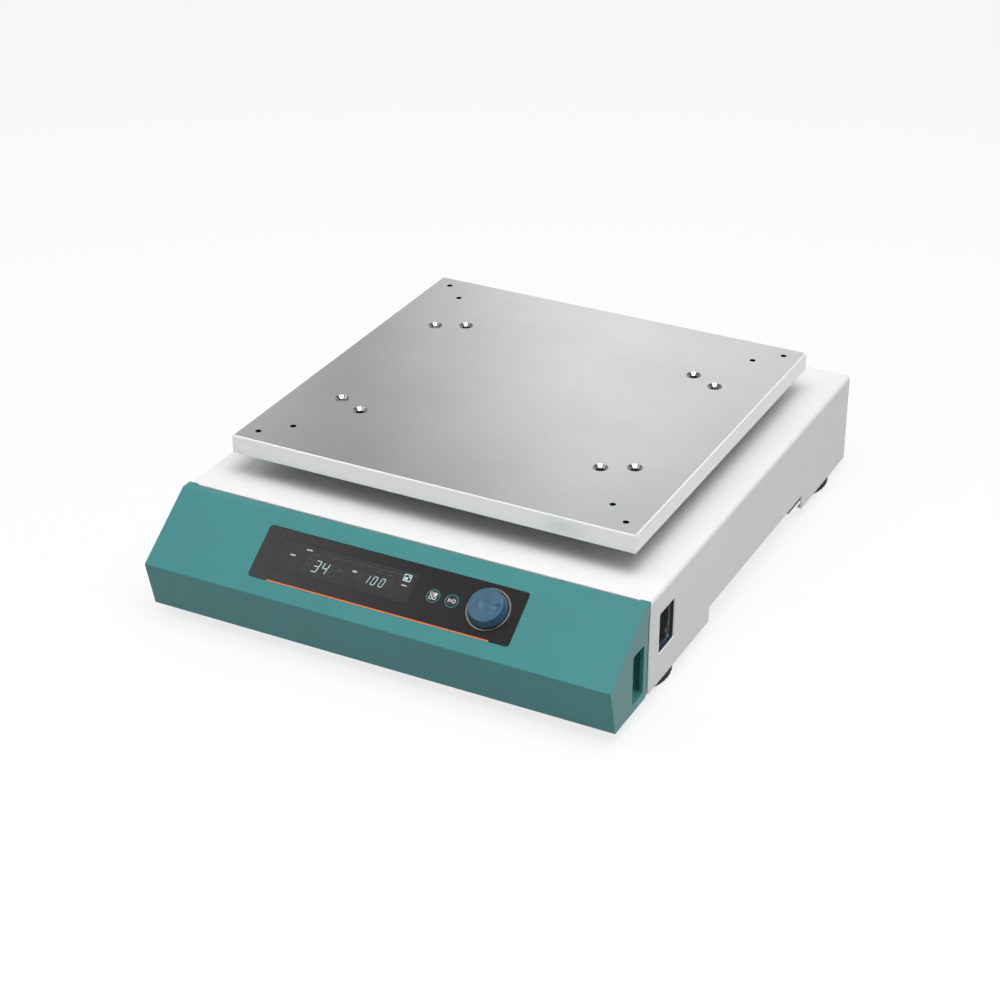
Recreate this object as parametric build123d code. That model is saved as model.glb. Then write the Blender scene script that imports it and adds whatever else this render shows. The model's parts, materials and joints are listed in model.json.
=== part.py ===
from build123d import *
import math
import os

# Bench orbital shaker, in millimetres. X is the user's right, Y the back, Z up.
# The origin is the middle of the footprint, on the bench under the feet.

# Housing
housing_width = 400.0
housing_depth = 422.0
foot_drop = 11.0
grip_height = 13.0
cover_sheet = 1.2
cover_bend = 4.0
front_lip_height = 12.0
hem_width = 2.4
liner_thickness = 3.0
pan_sheet = 1.5
pan_wall_height = 61.5
pan_rear_height = 10.0
seat_gap = 0.3
fit_gap = 0.02

# Front cover with the slanted control face
front_reach = 68.0
front_gap = 3.5
front_wall = 3.0
nose_height = 39.9
nose_rake = 10.0
cap_flat = 6.5
cap_proud = 0.7

# Platform
platform_size = 350.0
platform_sheet = 3.0
flange_height = 15.5
flange_lip = 10.0
platform_gap = 20.5
small_hole_radius = 2.5
outer_hole_span = 320.0
inner_hole_span = 280.0
fixing_hole_radius = 3.3
sink_radius = 6.2
sink_depth = 2.2
wide_span_x = 261.6
wide_span_y = 158.8
post_span_x = 214.0
post_span_y = 182.4

# Orbital drive
orbit_radius = 10.0
drive_plate_thickness = 6.0
shaft_radius = 7.5
main_ring_radius = 17.5
main_ring_width = 11.0
main_land = 4.5
pin_radius = 6.0
pin_ring_radius = 14.0
idler_radius = 5.0
idler_ring_radius = 13.0
small_ring_width = 8.0
idler_land = 9.0
idler_offset = 125.0
web_clearance = 1.0
web_thickness = 6.0
wheel_radius = 65.0
wheel_rim_height = 14.0
eccentric_thickness = 8.0
carriage_gap = 2.5
carriage_thickness = 10.0
carriage_lip = 2.0
head_room = 3.8
post_radius = 10.0
post_clearance = 4.0
collar_height = 4.0
ring_wall = 3.0
seal_gap = 0.3

# Motor and belt
belt_centre_distance = 116.0
motor_wheel_radius = 13.0
belt_width = 10.0
belt_thickness = 2.5
belt_gap = 0.3
motor_radius = 44.0
motor_plate_thickness = 4.0
motor_body_height = 18.0
motor_shaft_radius = 5.0
running_gap = 0.3
shaft_running_gap = 0.05

# Control face
panel_rise = 36.5
panel_width = 224.0
panel_height = 44.8
panel_corner = 2.6
overlay_thickness = 1.2
overlay_sink = 0.3
display_x = -37.2
display_y = 1.7
display_width = 118.4
display_height = 26.0
accent_length = 191.0
accent_height = 1.0
button_y = 0.7
menu_button_x = 39.9
start_button_x = 55.5
button_radius = 4.6
button_collar_radius = 5.5
button_travel = 0.6
knob_x = 85.9
knob_y = 1.6
knob_base_radius = 15.6
knob_top_radius = 13.6
knob_height = 8.1
knob_travel = 0.6
knob_ring_radius = 17.5
knob_ring_wall = 1.3
knob_ring_height = 0.9
board_thickness = 1.6
board_depth = 11.4
encoder_size = 13.0
encoder_shaft_radius = 3.0

# Feet
foot_radius = 36.0
foot_neck_radius = 20.0
foot_disc_height = 13.0
foot_inset = 40.0
foot_rear_inset = 43.0
foot_rib_count = 48
foot_rib_depth = 0.8

# Worked out from the values above
back_y = (housing_depth + front_reach) / 2
house_front_y = back_y - housing_depth
nose_y = house_front_y - front_reach
half_width = housing_width / 2
skirt_z = foot_drop
pan_z = skirt_z + grip_height + 0.5
pan_top = pan_z + pan_sheet
drive_top = pan_top + drive_plate_thickness
drive_y = (back_y + house_front_y) / 2
platform_y = drive_y - orbit_radius
main_upper_z = drive_top + main_ring_width + main_land
main_barrel_top = main_upper_z + main_ring_width
idler_upper_z = drive_top + small_ring_width + idler_land
idler_barrel_top = idler_upper_z + small_ring_width
web_z = main_barrel_top + web_clearance
web_top = web_z + web_thickness
rim_z = web_top - wheel_rim_height
belt_z = rim_z + wheel_rim_height / 2
eccentric_top = web_top + eccentric_thickness
carriage_z = eccentric_top + carriage_gap
carriage_top = carriage_z + carriage_thickness
cover_under_z = carriage_top + head_room
cover_top = cover_under_z + cover_sheet
flange_z = cover_top + platform_gap
platform_top = flange_z + flange_height
platform_under = platform_top - platform_sheet
cover_inner_x = half_width - cover_sheet
liner_inner_x = cover_inner_x - liner_thickness
pan_inner_x = liner_inner_x - pan_sheet
pan_front_y = house_front_y + cover_sheet + seat_gap
rear_panel_y = back_y - 2.0
pan_back_y = rear_panel_y - pan_sheet
cover_rear_y = house_front_y - front_gap
nose_z = skirt_z + nose_height
cap_z = cover_top + cap_proud
slope_angle = math.atan2(cap_z - nose_z, cover_rear_y - cap_flat - nose_y)
motor_y = drive_y + belt_centre_distance
motor_plate_top = pan_top + motor_plate_thickness
motor_top = motor_plate_top + motor_body_height
post_x = post_span_x / 2
post_y = post_span_y / 2
foot_x = half_width - foot_inset
foot_front_y = house_front_y + foot_inset
foot_back_y = back_y - foot_rear_inset
foot_seat_z = foot_disc_height - 3

# Openings in the side walls, measured from the housing's front face and lower edge
grip_start = 115.7
grip_length = 201.5
liner_ear_length = 28.0
liner_ear_drop = 4.5
window_start = 17.2
window_length = 28.6
window_rise = 24.5
window_height = 35.6
window_corner = 2.0
end_slot_start = 25.7
end_slot_length = 19.0
end_slot_rise = 7.0
end_slot_height = 42.0
end_slot_y = cover_rear_y - end_slot_start + end_slot_length / 2
end_slot_z = skirt_z + end_slot_rise + end_slot_height / 2

# Fasteners: shank radius, head radius and head height
m3 = (1.5, 2.75, 3.0)
m4 = (2.0, 3.5, 4.0)
m5 = (2.5, 4.25, 5.0)
m8 = (4.0, 6.5, 8.0)

corner_signs = [(-1, -1), (1, -1), (-1, 1), (1, 1)]
corner_names = ["front_left", "front_right", "rear_left", "rear_right"]

control_plane = Plane(
    origin=(0, nose_y + panel_rise * math.cos(slope_angle), nose_z + panel_rise * math.sin(slope_angle)),
    x_dir=(1, 0, 0),
    z_dir=(0, -math.sin(slope_angle), math.cos(slope_angle)),
)


def block(low, high):
    """Box between two corners."""
    size = [b - a for a, b in zip(low, high)]
    middle = [(a + b) / 2 for a, b in zip(low, high)]
    return Pos(*middle) * Box(*size)


def post(x, y, radius, low, high):
    """Upright cylinder from one height to another."""
    return Pos(x, y, (low + high) / 2) * Cylinder(radius, high - low)


def tube(x, y, outer, inner, low, high):
    """Upright ring: an outer cylinder with a bore through it."""
    return post(x, y, outer, low, high) - post(x, y, inner, low - 1, high + 1)


def across(outline, x_low, x_high):
    """Extrudes an outline drawn in Y and Z from one X to another."""
    return Plane.YZ.offset(x_low) * extrude(outline, x_high - x_low)


def along_y(x, z, radius, front, back):
    """Cylinder lying along Y."""
    return Pos(x, (front + back) / 2, z) * Rot(90, 0, 0) * Cylinder(radius, back - front)


def slab(width, height, corner, low, high, x=0, y=0):
    """Plate with rounded corners, lying flat between two heights."""
    return Pos(x, y, low) * extrude(RectangleRounded(width, height, corner), high - low)


def on_panel(shape):
    """Moves a shape made about the origin on to the slanted control face."""
    return control_plane.location * shape


def cap_screw(size, length):
    """Socket head screw along Z: its head stands on z = 0 and its shank hangs below."""
    shank, head, height = size
    screw = post(0, 0, head, 0, height) + post(0, 0, shank, -length, 0)
    return screw - Pos(0, 0, height / 2) * extrude(RegularPolygon(shank * 0.9, 6), height)


def screws(size, length, places, seat, up=True):
    """Screws at several places, with their heads on a seat, above it or below it."""
    turn = Rot(0, 0, 0) if up else Rot(180, 0, 0)
    return [Pos(x, y, seat) * turn * cap_screw(size, length) for x, y in places]


def holes(radius, places, low, high):
    """Cutters for round holes at several places."""
    return [post(x, y, radius, low, high) for x, y in places]


def circle_places(count, radius, x=0, y=0, start=0.0):
    """Points evenly spaced round a centre."""
    angles = [math.radians(start + 360 * i / count) for i in range(count)]
    return [(x + radius * math.cos(a), y + radius * math.sin(a)) for a in angles]


def save(name, *solids):
    """Writes one sub-part, which may be a group of separate solids."""
    shapes = [piece for shape in solids for piece in shape.solids()]
    export_step(shapes[0] if len(shapes) == 1 else Compound(children=shapes), f"parts/{name}.step")


# Screw places, shared by the piece that has the holes and the screws in them
post_places = [(sx * post_x, drive_y + sy * post_y) for sx, sy in corner_signs]
idler_places = [(sx * idler_offset, drive_y + sy * idler_offset) for sx, sy in corner_signs]
foot_places = [(sx * foot_x, foot_front_y if sy < 0 else foot_back_y) for sx, sy in corner_signs]
flange_radius = main_ring_radius + 22.5
main_screw_places = circle_places(6, flange_radius - 7, 0, drive_y, 30)
idler_flange_radius = idler_ring_radius + 12.0
idler_screw_places = [
    place for x, y in idler_places for place in circle_places(3, idler_flange_radius - 4.5, x, y, 90)
]
plate_half_x = idler_offset + idler_flange_radius + 5
plate_front_y = drive_y - idler_offset - idler_flange_radius - 1
plate_back_y = drive_y + idler_offset + idler_flange_radius + 1
plate_screw_places = [
    (sx * (plate_half_x - 10), y) for sx in (-1, 1) for y in (drive_y - 65, drive_y, drive_y + 65)
]
motor_plate_half = motor_radius + 10
motor_plate_places = [(sx * (motor_plate_half - 6), motor_y + sy * (motor_plate_half - 6)) for sx, sy in corner_signs]
cover_screw_places = [(sx * (half_width - 14), y) for sx in (-1, 1) for y in (house_front_y + 67, back_y - 80)]
front_boss_places = [(sx * 150, pan_z + rise) for sx in (-1, 1) for rise in (8.0, 47.0)]

# Control board, in the front right corner of the pan
board_z = pan_top + 9
board_right_x = half_width - 12
board_left_x = board_right_x - 126
board_front_y = house_front_y + 9
board_back_y = house_front_y + 57.5
board_screw_places = [
    (x, y) for x in (board_left_x + 6, board_right_x - 12) for y in (board_front_y + 5, board_back_y - 10)
]

# Power supply, in the front left corner of the pan
supply_left_x = -half_width + 20
supply_right_x = supply_left_x + 118
supply_front_y = house_front_y + 8
supply_back_y = supply_front_y + 44
supply_height = 30.0
supply_screw_places = [(x, supply_front_y + 22) for x in (supply_left_x - 5, supply_right_x + 5)]

# Mains inlet and power switch, in the rear panel
inlet_x = 140.0
inlet_z = pan_z + 25.5
switch_x = 90.0
switch_pivot_y = rear_panel_y - 3.0
inlet_face_y = back_y - 0.2
inlet_screw_y = inlet_face_y - 1.0
switch_tilt = 10.0


def grip_cut(x_low, x_high):
    """Hand grip notch through one side wall."""
    start = house_front_y + grip_start
    return block((x_low, start, skirt_z - 5), (x_high, start + grip_length, skirt_z + grip_height))


def window_cut(x_low, x_high):
    """Rounded window through the right side wall."""
    middle_y = house_front_y + window_start + window_length / 2
    middle_z = skirt_z + window_rise + window_height / 2
    outline = Pos(middle_y, middle_z) * RectangleRounded(window_length, window_height, window_corner)
    return across(outline, x_low, x_high)


def top_cover():
    """Folded sheet: a top and two sides with hems, a short front lip and four collared openings."""
    outline = RectangleRounded(housing_width, 2 * (cover_top - skirt_z), cover_bend)
    upper = Rectangle(housing_width + 2, cover_top - skirt_z, align=(Align.CENTER, Align.MIN))
    outer = extrude(outline & upper, housing_depth)
    hollow_outline = RectangleRounded(2 * cover_inner_x, 2 * (cover_under_z - skirt_z), cover_bend - cover_sheet)
    hollow = extrude(hollow_outline & upper, housing_depth + 2)
    stand = Pos(0, back_y, skirt_z) * Rot(90, 0, 0)
    front_edges = (stand * outer).edges().group_by(Axis.Y)[0].filter_by_position(Axis.Z, skirt_z + 5, cover_top + 1)
    shell = fillet(front_edges, 0.8) - Pos(0, 1, 0) * (stand * hollow)
    shell += block(
        (-cover_inner_x, house_front_y, cover_top - front_lip_height),
        (cover_inner_x, house_front_y + cover_sheet, cover_top - 1),
    )
    for side in (-1, 1):
        edge = sorted((side * (cover_inner_x + 0.2), side * (cover_inner_x - hem_width)))
        shell += block(
            (edge[0], house_front_y + cover_sheet, skirt_z),
            (edge[1], back_y, skirt_z + cover_sheet),
        )
        shell -= grip_cut(*sorted((side * (half_width - 12), side * (half_width + 5))))
    for x, y in cover_screw_places:
        side = 1 if x > 0 else -1
        reach = sorted((side * (cover_inner_x + 0.2), x - side * 7))
        shell += block((reach[0], y - 8, pan_z - cover_sheet), (reach[1], y + 8, pan_z))
        shell -= post(x, y, m4[0] + 0.2, pan_z - 5, pan_z + 1)
    shell -= window_cut(half_width - 10, half_width + 5)
    opening_radius = post_radius + orbit_radius + post_clearance
    for x, y in post_places:
        shell += post(x, y, opening_radius + cover_sheet, cover_top - 0.5, cover_top + collar_height)
        shell -= post(x, y, opening_radius, cover_under_z - 1, cover_top + collar_height + 1)
    return shell


def liner(side):
    """Damping sheet between the cover's side and the pan's wall, with a short ear behind the grip."""
    x_low, x_high = sorted((side * cover_inner_x, side * liner_inner_x))
    low = pan_z + pan_sheet
    sheet = block((x_low, house_front_y + 8, low), (x_high, back_y - 12, pan_z + pan_wall_height))
    grip_end = house_front_y + grip_start + grip_length
    ear_low = skirt_z + grip_height - liner_ear_drop
    sheet += block((x_low, grip_end - liner_ear_length, ear_low), (x_high, grip_end + 8, low))
    if side > 0:
        sheet -= window_cut(x_low - 1, x_high + 1)
    return sheet


def base_pan():
    """Folded tray with a floor, a front wall, two side walls and a low rear flange."""
    top = pan_z + pan_wall_height
    tray = block((-liner_inner_x, pan_front_y, pan_z), (liner_inner_x, pan_back_y, top))
    tray -= block((-pan_inner_x, pan_front_y + pan_sheet, pan_top), (pan_inner_x, pan_back_y - pan_sheet, top + 1))
    tray -= block((-pan_inner_x, pan_back_y - 5, pan_z + pan_rear_height), (pan_inner_x, pan_back_y + 1, top + 1))
    tray -= window_cut(pan_inner_x - 1, liner_inner_x + 1)
    for cutter in holes(m5[0] + 0.25, foot_places + plate_screw_places + motor_plate_places, pan_z - 1, pan_top + 1):
        tray -= cutter
    for cutter in holes(m4[0] + 0.2, cover_screw_places, pan_z - 1, pan_top + 1):
        tray -= cutter
    for cutter in holes(m3[0] + 0.2, board_screw_places + supply_screw_places, pan_z - 1, pan_top + 1):
        tray -= cutter
    for x, z in front_boss_places:
        tray -= along_y(x, z, m4[0] + 0.2, pan_front_y - 1, pan_front_y + pan_sheet + 1)
    for x in rear_panel_screws_x:
        tray -= along_y(x, pan_top + 6, m3[0] + 0.2, pan_back_y - 5, pan_back_y + 1)
    return tray


def drive_plate():
    """Thick steel plate under the drive, open at the back for the motor and lightened by windows."""
    width = 2 * plate_half_x
    plate = slab(
        width, plate_back_y - plate_front_y, 12, pan_top, drive_top, 0, (plate_front_y + plate_back_y) / 2
    )
    clear = motor_plate_half + 4
    plate -= block((-clear, motor_y - clear, pan_top - 1), (clear, plate_back_y + 1, drive_top + 1))
    plate -= post(0, drive_y, main_ring_radius - ring_wall + 0.5, pan_top - 1, drive_top + 1)
    for x, y in idler_places:
        plate -= post(x, y, idler_ring_radius - ring_wall, pan_top - 1, drive_top + 1)
    for side in (-1, 1):
        plate -= slab(62, 76, 8, pan_top - 1, drive_top + 1, side * 88, drive_y)
        plate -= slab(62, 40, 8, pan_top - 1, drive_top + 1, side * 50, drive_y - 95)
    for cutter in holes(m5[0] + 0.05, plate_screw_places + main_screw_places, pan_top - 1, drive_top + 1):
        plate -= cutter
    for cutter in holes(m4[0] + 0.05, idler_screw_places, pan_top - 1, drive_top + 1):
        plate -= cutter
    return plate


def bearing_housing(x, y, ring, width, upper, flange, screw_size, places):
    """Flanged barrel for two ball bearings, with a land between them."""
    top = upper + width
    body = post(x, y, flange, drive_top, drive_top + 5) + post(x, y, ring + 4, drive_top, top)
    body -= post(x, y, ring + fit_gap, drive_top - 1, drive_top + width)
    body -= post(x, y, ring - 1.5, drive_top - 1, top + 1)
    body -= post(x, y, ring + fit_gap, upper, top + 1)
    for cutter in holes(screw_size[0] + 0.2, places, drive_top - 1, drive_top + 6):
        body -= cutter
    return body


def outer_ring(x, y, ring, bore, low, width):
    """Outer ring of a sealed ball bearing, with the seal that reaches in to the inner ring."""
    body = tube(x, y, ring, ring - ring_wall, low, low + width)
    return body + tube(x, y, ring - ring_wall + 0.2, bore + ring_wall + seal_gap, low + 0.6, low + width - 0.6)


def inner_ring(x, y, bore, low, width):
    """Inner ring of a ball bearing, seated on its shaft."""
    return tube(x, y, bore + ring_wall, bore + fit_gap, low, low + width)


def main_shaft():
    """Upright drive shaft with a snap ring below the lower bearing."""
    shaft = post(0, drive_y, shaft_radius, pan_top + 2, web_top)
    snap = tube(0, drive_y, shaft_radius + 3, shaft_radius - 0.1, drive_top - 1.5, drive_top)
    return shaft + snap


def drive_wheel():
    """Cup shaped belt wheel: a rim, a lightened web and a hub that stands on the upper inner ring."""
    rim = tube(0, drive_y, wheel_radius, wheel_radius - 6, rim_z, web_top)
    web = post(0, drive_y, wheel_radius - 1, web_z, web_top)
    wheel = rim + web + post(0, drive_y, shaft_radius + ring_wall - 0.3, main_barrel_top, web_z + 1)
    for x, y in circle_places(6, wheel_radius - 21, 0, drive_y, 0):
        wheel -= post(x, y, 8, web_z - 1, web_top + 1)
    wheel -= post(0, drive_y, shaft_radius + fit_gap, main_barrel_top - 1, web_top + 1)
    for cutter in holes(m4[0] + 0.05, eccentric_screw_places + weight_screw_places, web_z - 1, web_top + 1):
        wheel -= cutter
    return wheel


def eccentric_hub():
    """Disc that carries the crank pin off the shaft's axis."""
    hub = post(0, drive_y, hub_radius, web_top, eccentric_top)
    hub += post(0, platform_y, pin_radius + ring_wall - 0.5, eccentric_top, carriage_z)
    hub += post(0, platform_y, pin_radius, carriage_z - 1, carriage_z + small_ring_width)
    for x, y in eccentric_screw_places:
        hub -= post(x, y, m4[0] + 0.2, web_top - 1, eccentric_top + 1)
        hub -= post(x, y, m4[1] + 0.3, eccentric_top - m4[2], eccentric_top + 1)
    return hub - post(0, platform_y, m3[0], carriage_z - 4, carriage_z + small_ring_width + 1)


def counterweight():
    """Steel sector opposite the crank pin, which balances the platform."""
    ring = tube(0, drive_y, wheel_radius - 5, hub_radius + 2, web_top, eccentric_top)
    half = block((-wheel_radius, drive_y + 8, web_top), (wheel_radius, drive_y + wheel_radius, eccentric_top))
    weight = ring & half
    for x, y in weight_screw_places:
        weight -= post(x, y, m4[0] + 0.2, web_top - 1, eccentric_top + 1)
        weight -= post(x, y, m4[1] + 0.3, eccentric_top - m4[2], eccentric_top + 1)
    return weight


def pin_screw(x, y, pin, ring_top):
    """Washer and button head that hold a bearing's inner ring on its pin."""
    washer = post(x, y, pin + 2.2, ring_top, ring_top + 1.2)
    head = post(x, y, 2.8, ring_top + 1.2, ring_top + 2.8)
    return washer + head + post(x, y, m3[0] - 0.05, ring_top - 6, ring_top + 0.1)


def idler_crank(x, y):
    """Small crank: a shaft in two bearings, an arm and a pin up into the carriage."""
    pin_y = y - orbit_radius
    arm_z = idler_barrel_top + web_clearance
    crank = post(x, y, idler_radius, pan_top + 2, arm_z + 1)
    crank += tube(x, y, idler_radius + 2.5, idler_radius - 0.1, drive_top - 1.5, drive_top)
    crank += post(x, y, idler_radius + ring_wall - 0.5, idler_barrel_top, arm_z + 1)
    crank += slab(22, 22 + orbit_radius, 10.9, arm_z, arm_z + eccentric_thickness, x, y - orbit_radius / 2)
    crank += post(x, pin_y, idler_radius + ring_wall - 0.5, arm_z + eccentric_thickness - 1, carriage_z)
    crank += post(x, pin_y, idler_radius, carriage_z - 1, carriage_z + small_ring_width)
    crank -= post(x, pin_y, m3[0], carriage_z - 4, carriage_z + small_ring_width + 1)
    rings = [inner_ring(x, y, idler_radius, low, small_ring_width) for low in (drive_top, idler_upper_z)]
    rings.append(inner_ring(x, pin_y, idler_radius, carriage_z, small_ring_width))
    return [crank, pin_screw(x, pin_y, idler_radius, carriage_z + small_ring_width)] + rings


def carriage():
    """Cast frame that joins the five pins: two rails and a crossbar, hollowed from below."""
    rail_in = post_x - 17
    rail_out = idler_offset + 20
    length = 2 * (idler_offset + 20)
    frame = slab(2 * post_x, 84, 6, carriage_z, carriage_top, 0, platform_y)
    pockets = []
    for side in (-1, 1):
        x = side * (rail_in + rail_out) / 2
        frame += slab(rail_out - rail_in, length, 14, carriage_z, carriage_top, x, platform_y)
        pockets.append((rail_out - rail_in - 14, 78, x, platform_y))
        pockets.append((48, 64, side * 52, platform_y))
    for width, height, x, y in pockets:
        frame -= slab(width, height, 5, carriage_z - 1, carriage_top - 4, x, y)
    seats = [(0, platform_y, pin_ring_radius)]
    seats += [(x, y - orbit_radius, idler_ring_radius) for x, y in idler_places]
    for x, y, ring in seats:
        frame -= post(x, y, ring + fit_gap, carriage_z - 1, carriage_top - carriage_lip)
        frame -= post(x, y, ring - ring_wall + 0.5, carriage_z - 1, carriage_top + 1)
    for x, y in post_places:
        frame -= post(x, y - orbit_radius, m8[0] + 0.3, carriage_z - 1, carriage_top + 1)
    return frame


def platform_post(x, y):
    """Turned post from the carriage to the platform, with a flange under the sheet."""
    body = post(x, y, post_radius, carriage_top, platform_under)
    body += post(x, y, 2 * post_radius + 2, platform_under - 4, platform_under)
    body -= post(x, y, m8[0] + 0.05, carriage_top - 1, carriage_top + 16)
    body -= post(x, y, fixing_hole_radius - 0.3, platform_under - 16, platform_under + 1)
    for side in (-1, 1):
        body -= post(x + side * stud_offset, y, m5[0] + 0.25, platform_under - 5, platform_under + 1)
    return body


def stud_nut(x, y):
    """Hexagon nut on a stud, below a post's flange."""
    nut = Pos(x, y, platform_under - 8) * extrude(RegularPolygon(4.4, 6), 4)
    return nut - post(x, y, m5[0] + fit_gap, platform_under - 9, platform_under)


def platform():
    """Folded tray top with turned-down edges, return lips, fixing holes and welded studs."""
    half = platform_size / 2
    low = (-half, platform_y - half, flange_z)
    sheet = block(low, (half, platform_y + half, platform_top))
    sheet = fillet(sheet.edges().group_by(Axis.Z)[-1], 1.4)
    inset = platform_sheet
    sheet -= block(
        (-half + inset, platform_y - half + inset, flange_z + inset),
        (half - inset, platform_y + half - inset, platform_under),
    )
    inset = flange_lip
    sheet -= block(
        (-half + inset, platform_y - half + inset, flange_z - 1),
        (half - inset, platform_y + half - inset, platform_under),
    )
    for sx, sy in corner_signs:
        x = sx * (half - flange_lip / 2 - platform_sheet)
        y = platform_y + sy * (half - flange_lip / 2 - platform_sheet)
        sheet -= block((x - 5, y - 5, flange_z - 1), (x + 5, y + 5, flange_z + platform_sheet + 1))
        sheet -= post(sx * (half - 1.3), platform_y + sy * (half - 1.3), 0.8, platform_top - 2, platform_top + 1)
    for span in (outer_hole_span, inner_hole_span):
        places = [(sx * span / 2, platform_y + sy * span / 2) for sx, sy in corner_signs]
        for cutter in holes(small_hole_radius, places, platform_under - 1, platform_top + 1):
            sheet -= cutter
    for span_x, span_y in ((wide_span_x, wide_span_y), (post_span_x, post_span_y)):
        for sx, sy in corner_signs:
            x = sx * span_x / 2
            y = platform_y + sy * span_y / 2
            sheet -= post(x, y, fixing_hole_radius, platform_under - 1, platform_top + 1)
            sheet -= Pos(x, y, platform_top - sink_depth / 2) * Cone(fixing_hole_radius, sink_radius, sink_depth)
    for x, y in post_places:
        for side in (-1, 1):
            sheet += post(x + side * stud_offset, y - orbit_radius, m5[0], platform_under - 10, platform_under + 1)
    return sheet


def motor_mount():
    """Plate under the motor, slotted so that it slides back to tighten the belt."""
    width = 2 * motor_plate_half
    plate = slab(width, width, 5, pan_top, motor_plate_top, 0, motor_y)
    for x, y in motor_plate_places:
        plate -= slab(2 * m5[0] + 0.5, 2 * m5[0] + 5.5, m5[0] + 0.2, pan_top - 1, motor_plate_top + 1, x, y)
    return plate


def motor_body():
    """Flat brushless motor: a round can with a cover, a boss and cooling slots."""
    can = post(0, motor_y, motor_radius, motor_plate_top, motor_top)
    can = fillet(can.edges().group_by(Axis.Z)[-1], 3)
    can += post(0, motor_y, 12, motor_top - 1, motor_top + 1.2)
    for x, y in circle_places(8, motor_radius - 16, 0, motor_y, 22.5):
        can -= post(x, y, 4, motor_top - 5, motor_top + 1)
    return can - post(0, motor_y, motor_shaft_radius + running_gap, motor_plate_top + 3, motor_top + 2)


def motor_wheel():
    """Small belt wheel with two flanges, on the motor's shaft."""
    low = belt_z - belt_width / 2 - belt_gap
    high = belt_z + belt_width / 2 + belt_gap
    wheel = post(0, motor_y, motor_wheel_radius, low, high)
    for start in (low - 1, high):
        wheel += post(0, motor_y, motor_wheel_radius + belt_thickness + 1.5, start, start + 1)
    return wheel - post(0, motor_y, motor_shaft_radius + fit_gap, low - 2, high + 2)


def drive_belt():
    """Flat belt: the tangent loop round both wheels, a small gap off each."""
    loops = []
    for extra in (belt_gap, belt_gap + belt_thickness):
        large = Pos(0, drive_y) * Circle(wheel_radius + extra)
        small = Pos(0, motor_y) * Circle(motor_wheel_radius + extra)
        loops.append(make_hull(large.edges() + small.edges()))
    return Pos(0, 0, belt_z - belt_width / 2) * extrude(loops[1] - loops[0], belt_width)


def front_profile():
    """Side outline of the front cover, as points of Y and Z."""
    return [
        (cover_rear_y, cap_z),
        (cover_rear_y - cap_flat, cap_z),
        (nose_y, nose_z),
        (nose_y + nose_rake, skirt_z),
        (cover_rear_y - 2.5, skirt_z),
        (cover_rear_y, skirt_z + 2.0),
    ]


def front_cover():
    """Moulded front: a hollow wedge with a recessed control face, end slots, collars and bosses."""
    outline = Polygon(*front_profile(), align=None)
    solid = across(outline, -half_width, half_width)
    long_edges = solid.edges().filter_by(Axis.X)
    nose_edge = long_edges.sort_by(Axis.Y)[0]
    cap_edge = long_edges.group_by(Axis.Z)[-1].sort_by(Axis.Y)[0]
    solid = fillet([nose_edge, cap_edge], 1.0)
    hollow = offset(outline, -front_wall, kind=Kind.INTERSECTION)
    shell = solid - across(hollow, -half_width + front_wall, half_width - front_wall)
    shell -= block(
        (-half_width + front_wall, cover_rear_y - cap_flat - 2, skirt_z + front_wall),
        (half_width - front_wall, cover_rear_y + 1, cap_z - front_wall),
    )
    for side in (-1, 1):
        x_low, x_high = sorted((side * (half_width - 8), side * half_width))
        shell += block(
            (x_low, cover_rear_y - 1, cap_z - front_lip_height), (x_high, house_front_y - seat_gap, cap_z)
        )
        x_low, x_high = sorted((side * (half_width - front_wall - 1), side * (half_width + 1)))
        slot = Pos(end_slot_y, end_slot_z) * RectangleRounded(end_slot_length, end_slot_height, 1.8)
        shell -= across(slot, x_low, x_high)
    for x, z in front_boss_places:
        boss = along_y(x, z, 4.5, nose_y + 5, pan_front_y) & solid_reach()
        shell += boss
        shell -= along_y(x, z, m4[0] + fit_gap, pan_front_y - 14, pan_front_y + 1)
    recess_floor = -overlay_sink - overlay_thickness
    shell -= on_panel(slab(panel_width + 0.6, panel_height + 0.6, panel_corner + 0.3, recess_floor, 5))
    for x, y in panel_boss_places:
        shell += on_panel(post(x, y, 3.5, -board_depth, -front_wall + 0.5))
        shell -= on_panel(post(x, y, m3[0] + fit_gap, -board_depth - 1, -front_wall - 1))
    shell -= on_panel(
        slab(display_width + 0.4, display_height + 0.4, 1, -front_wall - 1, 1, display_x, display_y)
    )
    for x in (menu_button_x, start_button_x):
        shell += on_panel(post(x, button_y, button_collar_radius, -front_wall, -overlay_sink + 0.1))
        shell -= on_panel(post(x, button_y, button_radius + running_gap, -front_wall - 1, 1))
    return shell - on_panel(post(knob_x, knob_y, bushing_radius + 0.3, -front_wall - 1, 1))


def solid_reach():
    """Space that a screw boss may fill: from inside the slope and the front wall to the pan."""
    inside = offset(Polygon(*front_profile(), align=None), -front_wall / 2, kind=Kind.INTERSECTION)
    return across(inside, -half_width, half_width) + block(
        (-half_width, cover_rear_y - 5, skirt_z + 5), (half_width, pan_front_y, cap_z - 5)
    )


def panel_overlay():
    """Glossy control panel with windows for the display, the accent strip, the buttons and the knob."""
    low = -overlay_sink - overlay_thickness
    sheet = slab(panel_width, panel_height, panel_corner, low, -overlay_sink)
    sheet -= slab(display_width, display_height, 0.8, low - 1, 1, display_x, display_y)
    sheet -= Pos(0, -panel_height / 2, 0) * block(
        (-accent_length / 2, -1, low - 1), (accent_length / 2, accent_height, 1)
    )
    for x in (menu_button_x, start_button_x):
        sheet -= post(x, button_y, button_collar_radius + 0.1, low - 1, 1)
    sheet -= post(knob_x, knob_y, bushing_radius + 0.3, low - 1, 1)
    return on_panel(sheet)


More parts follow.
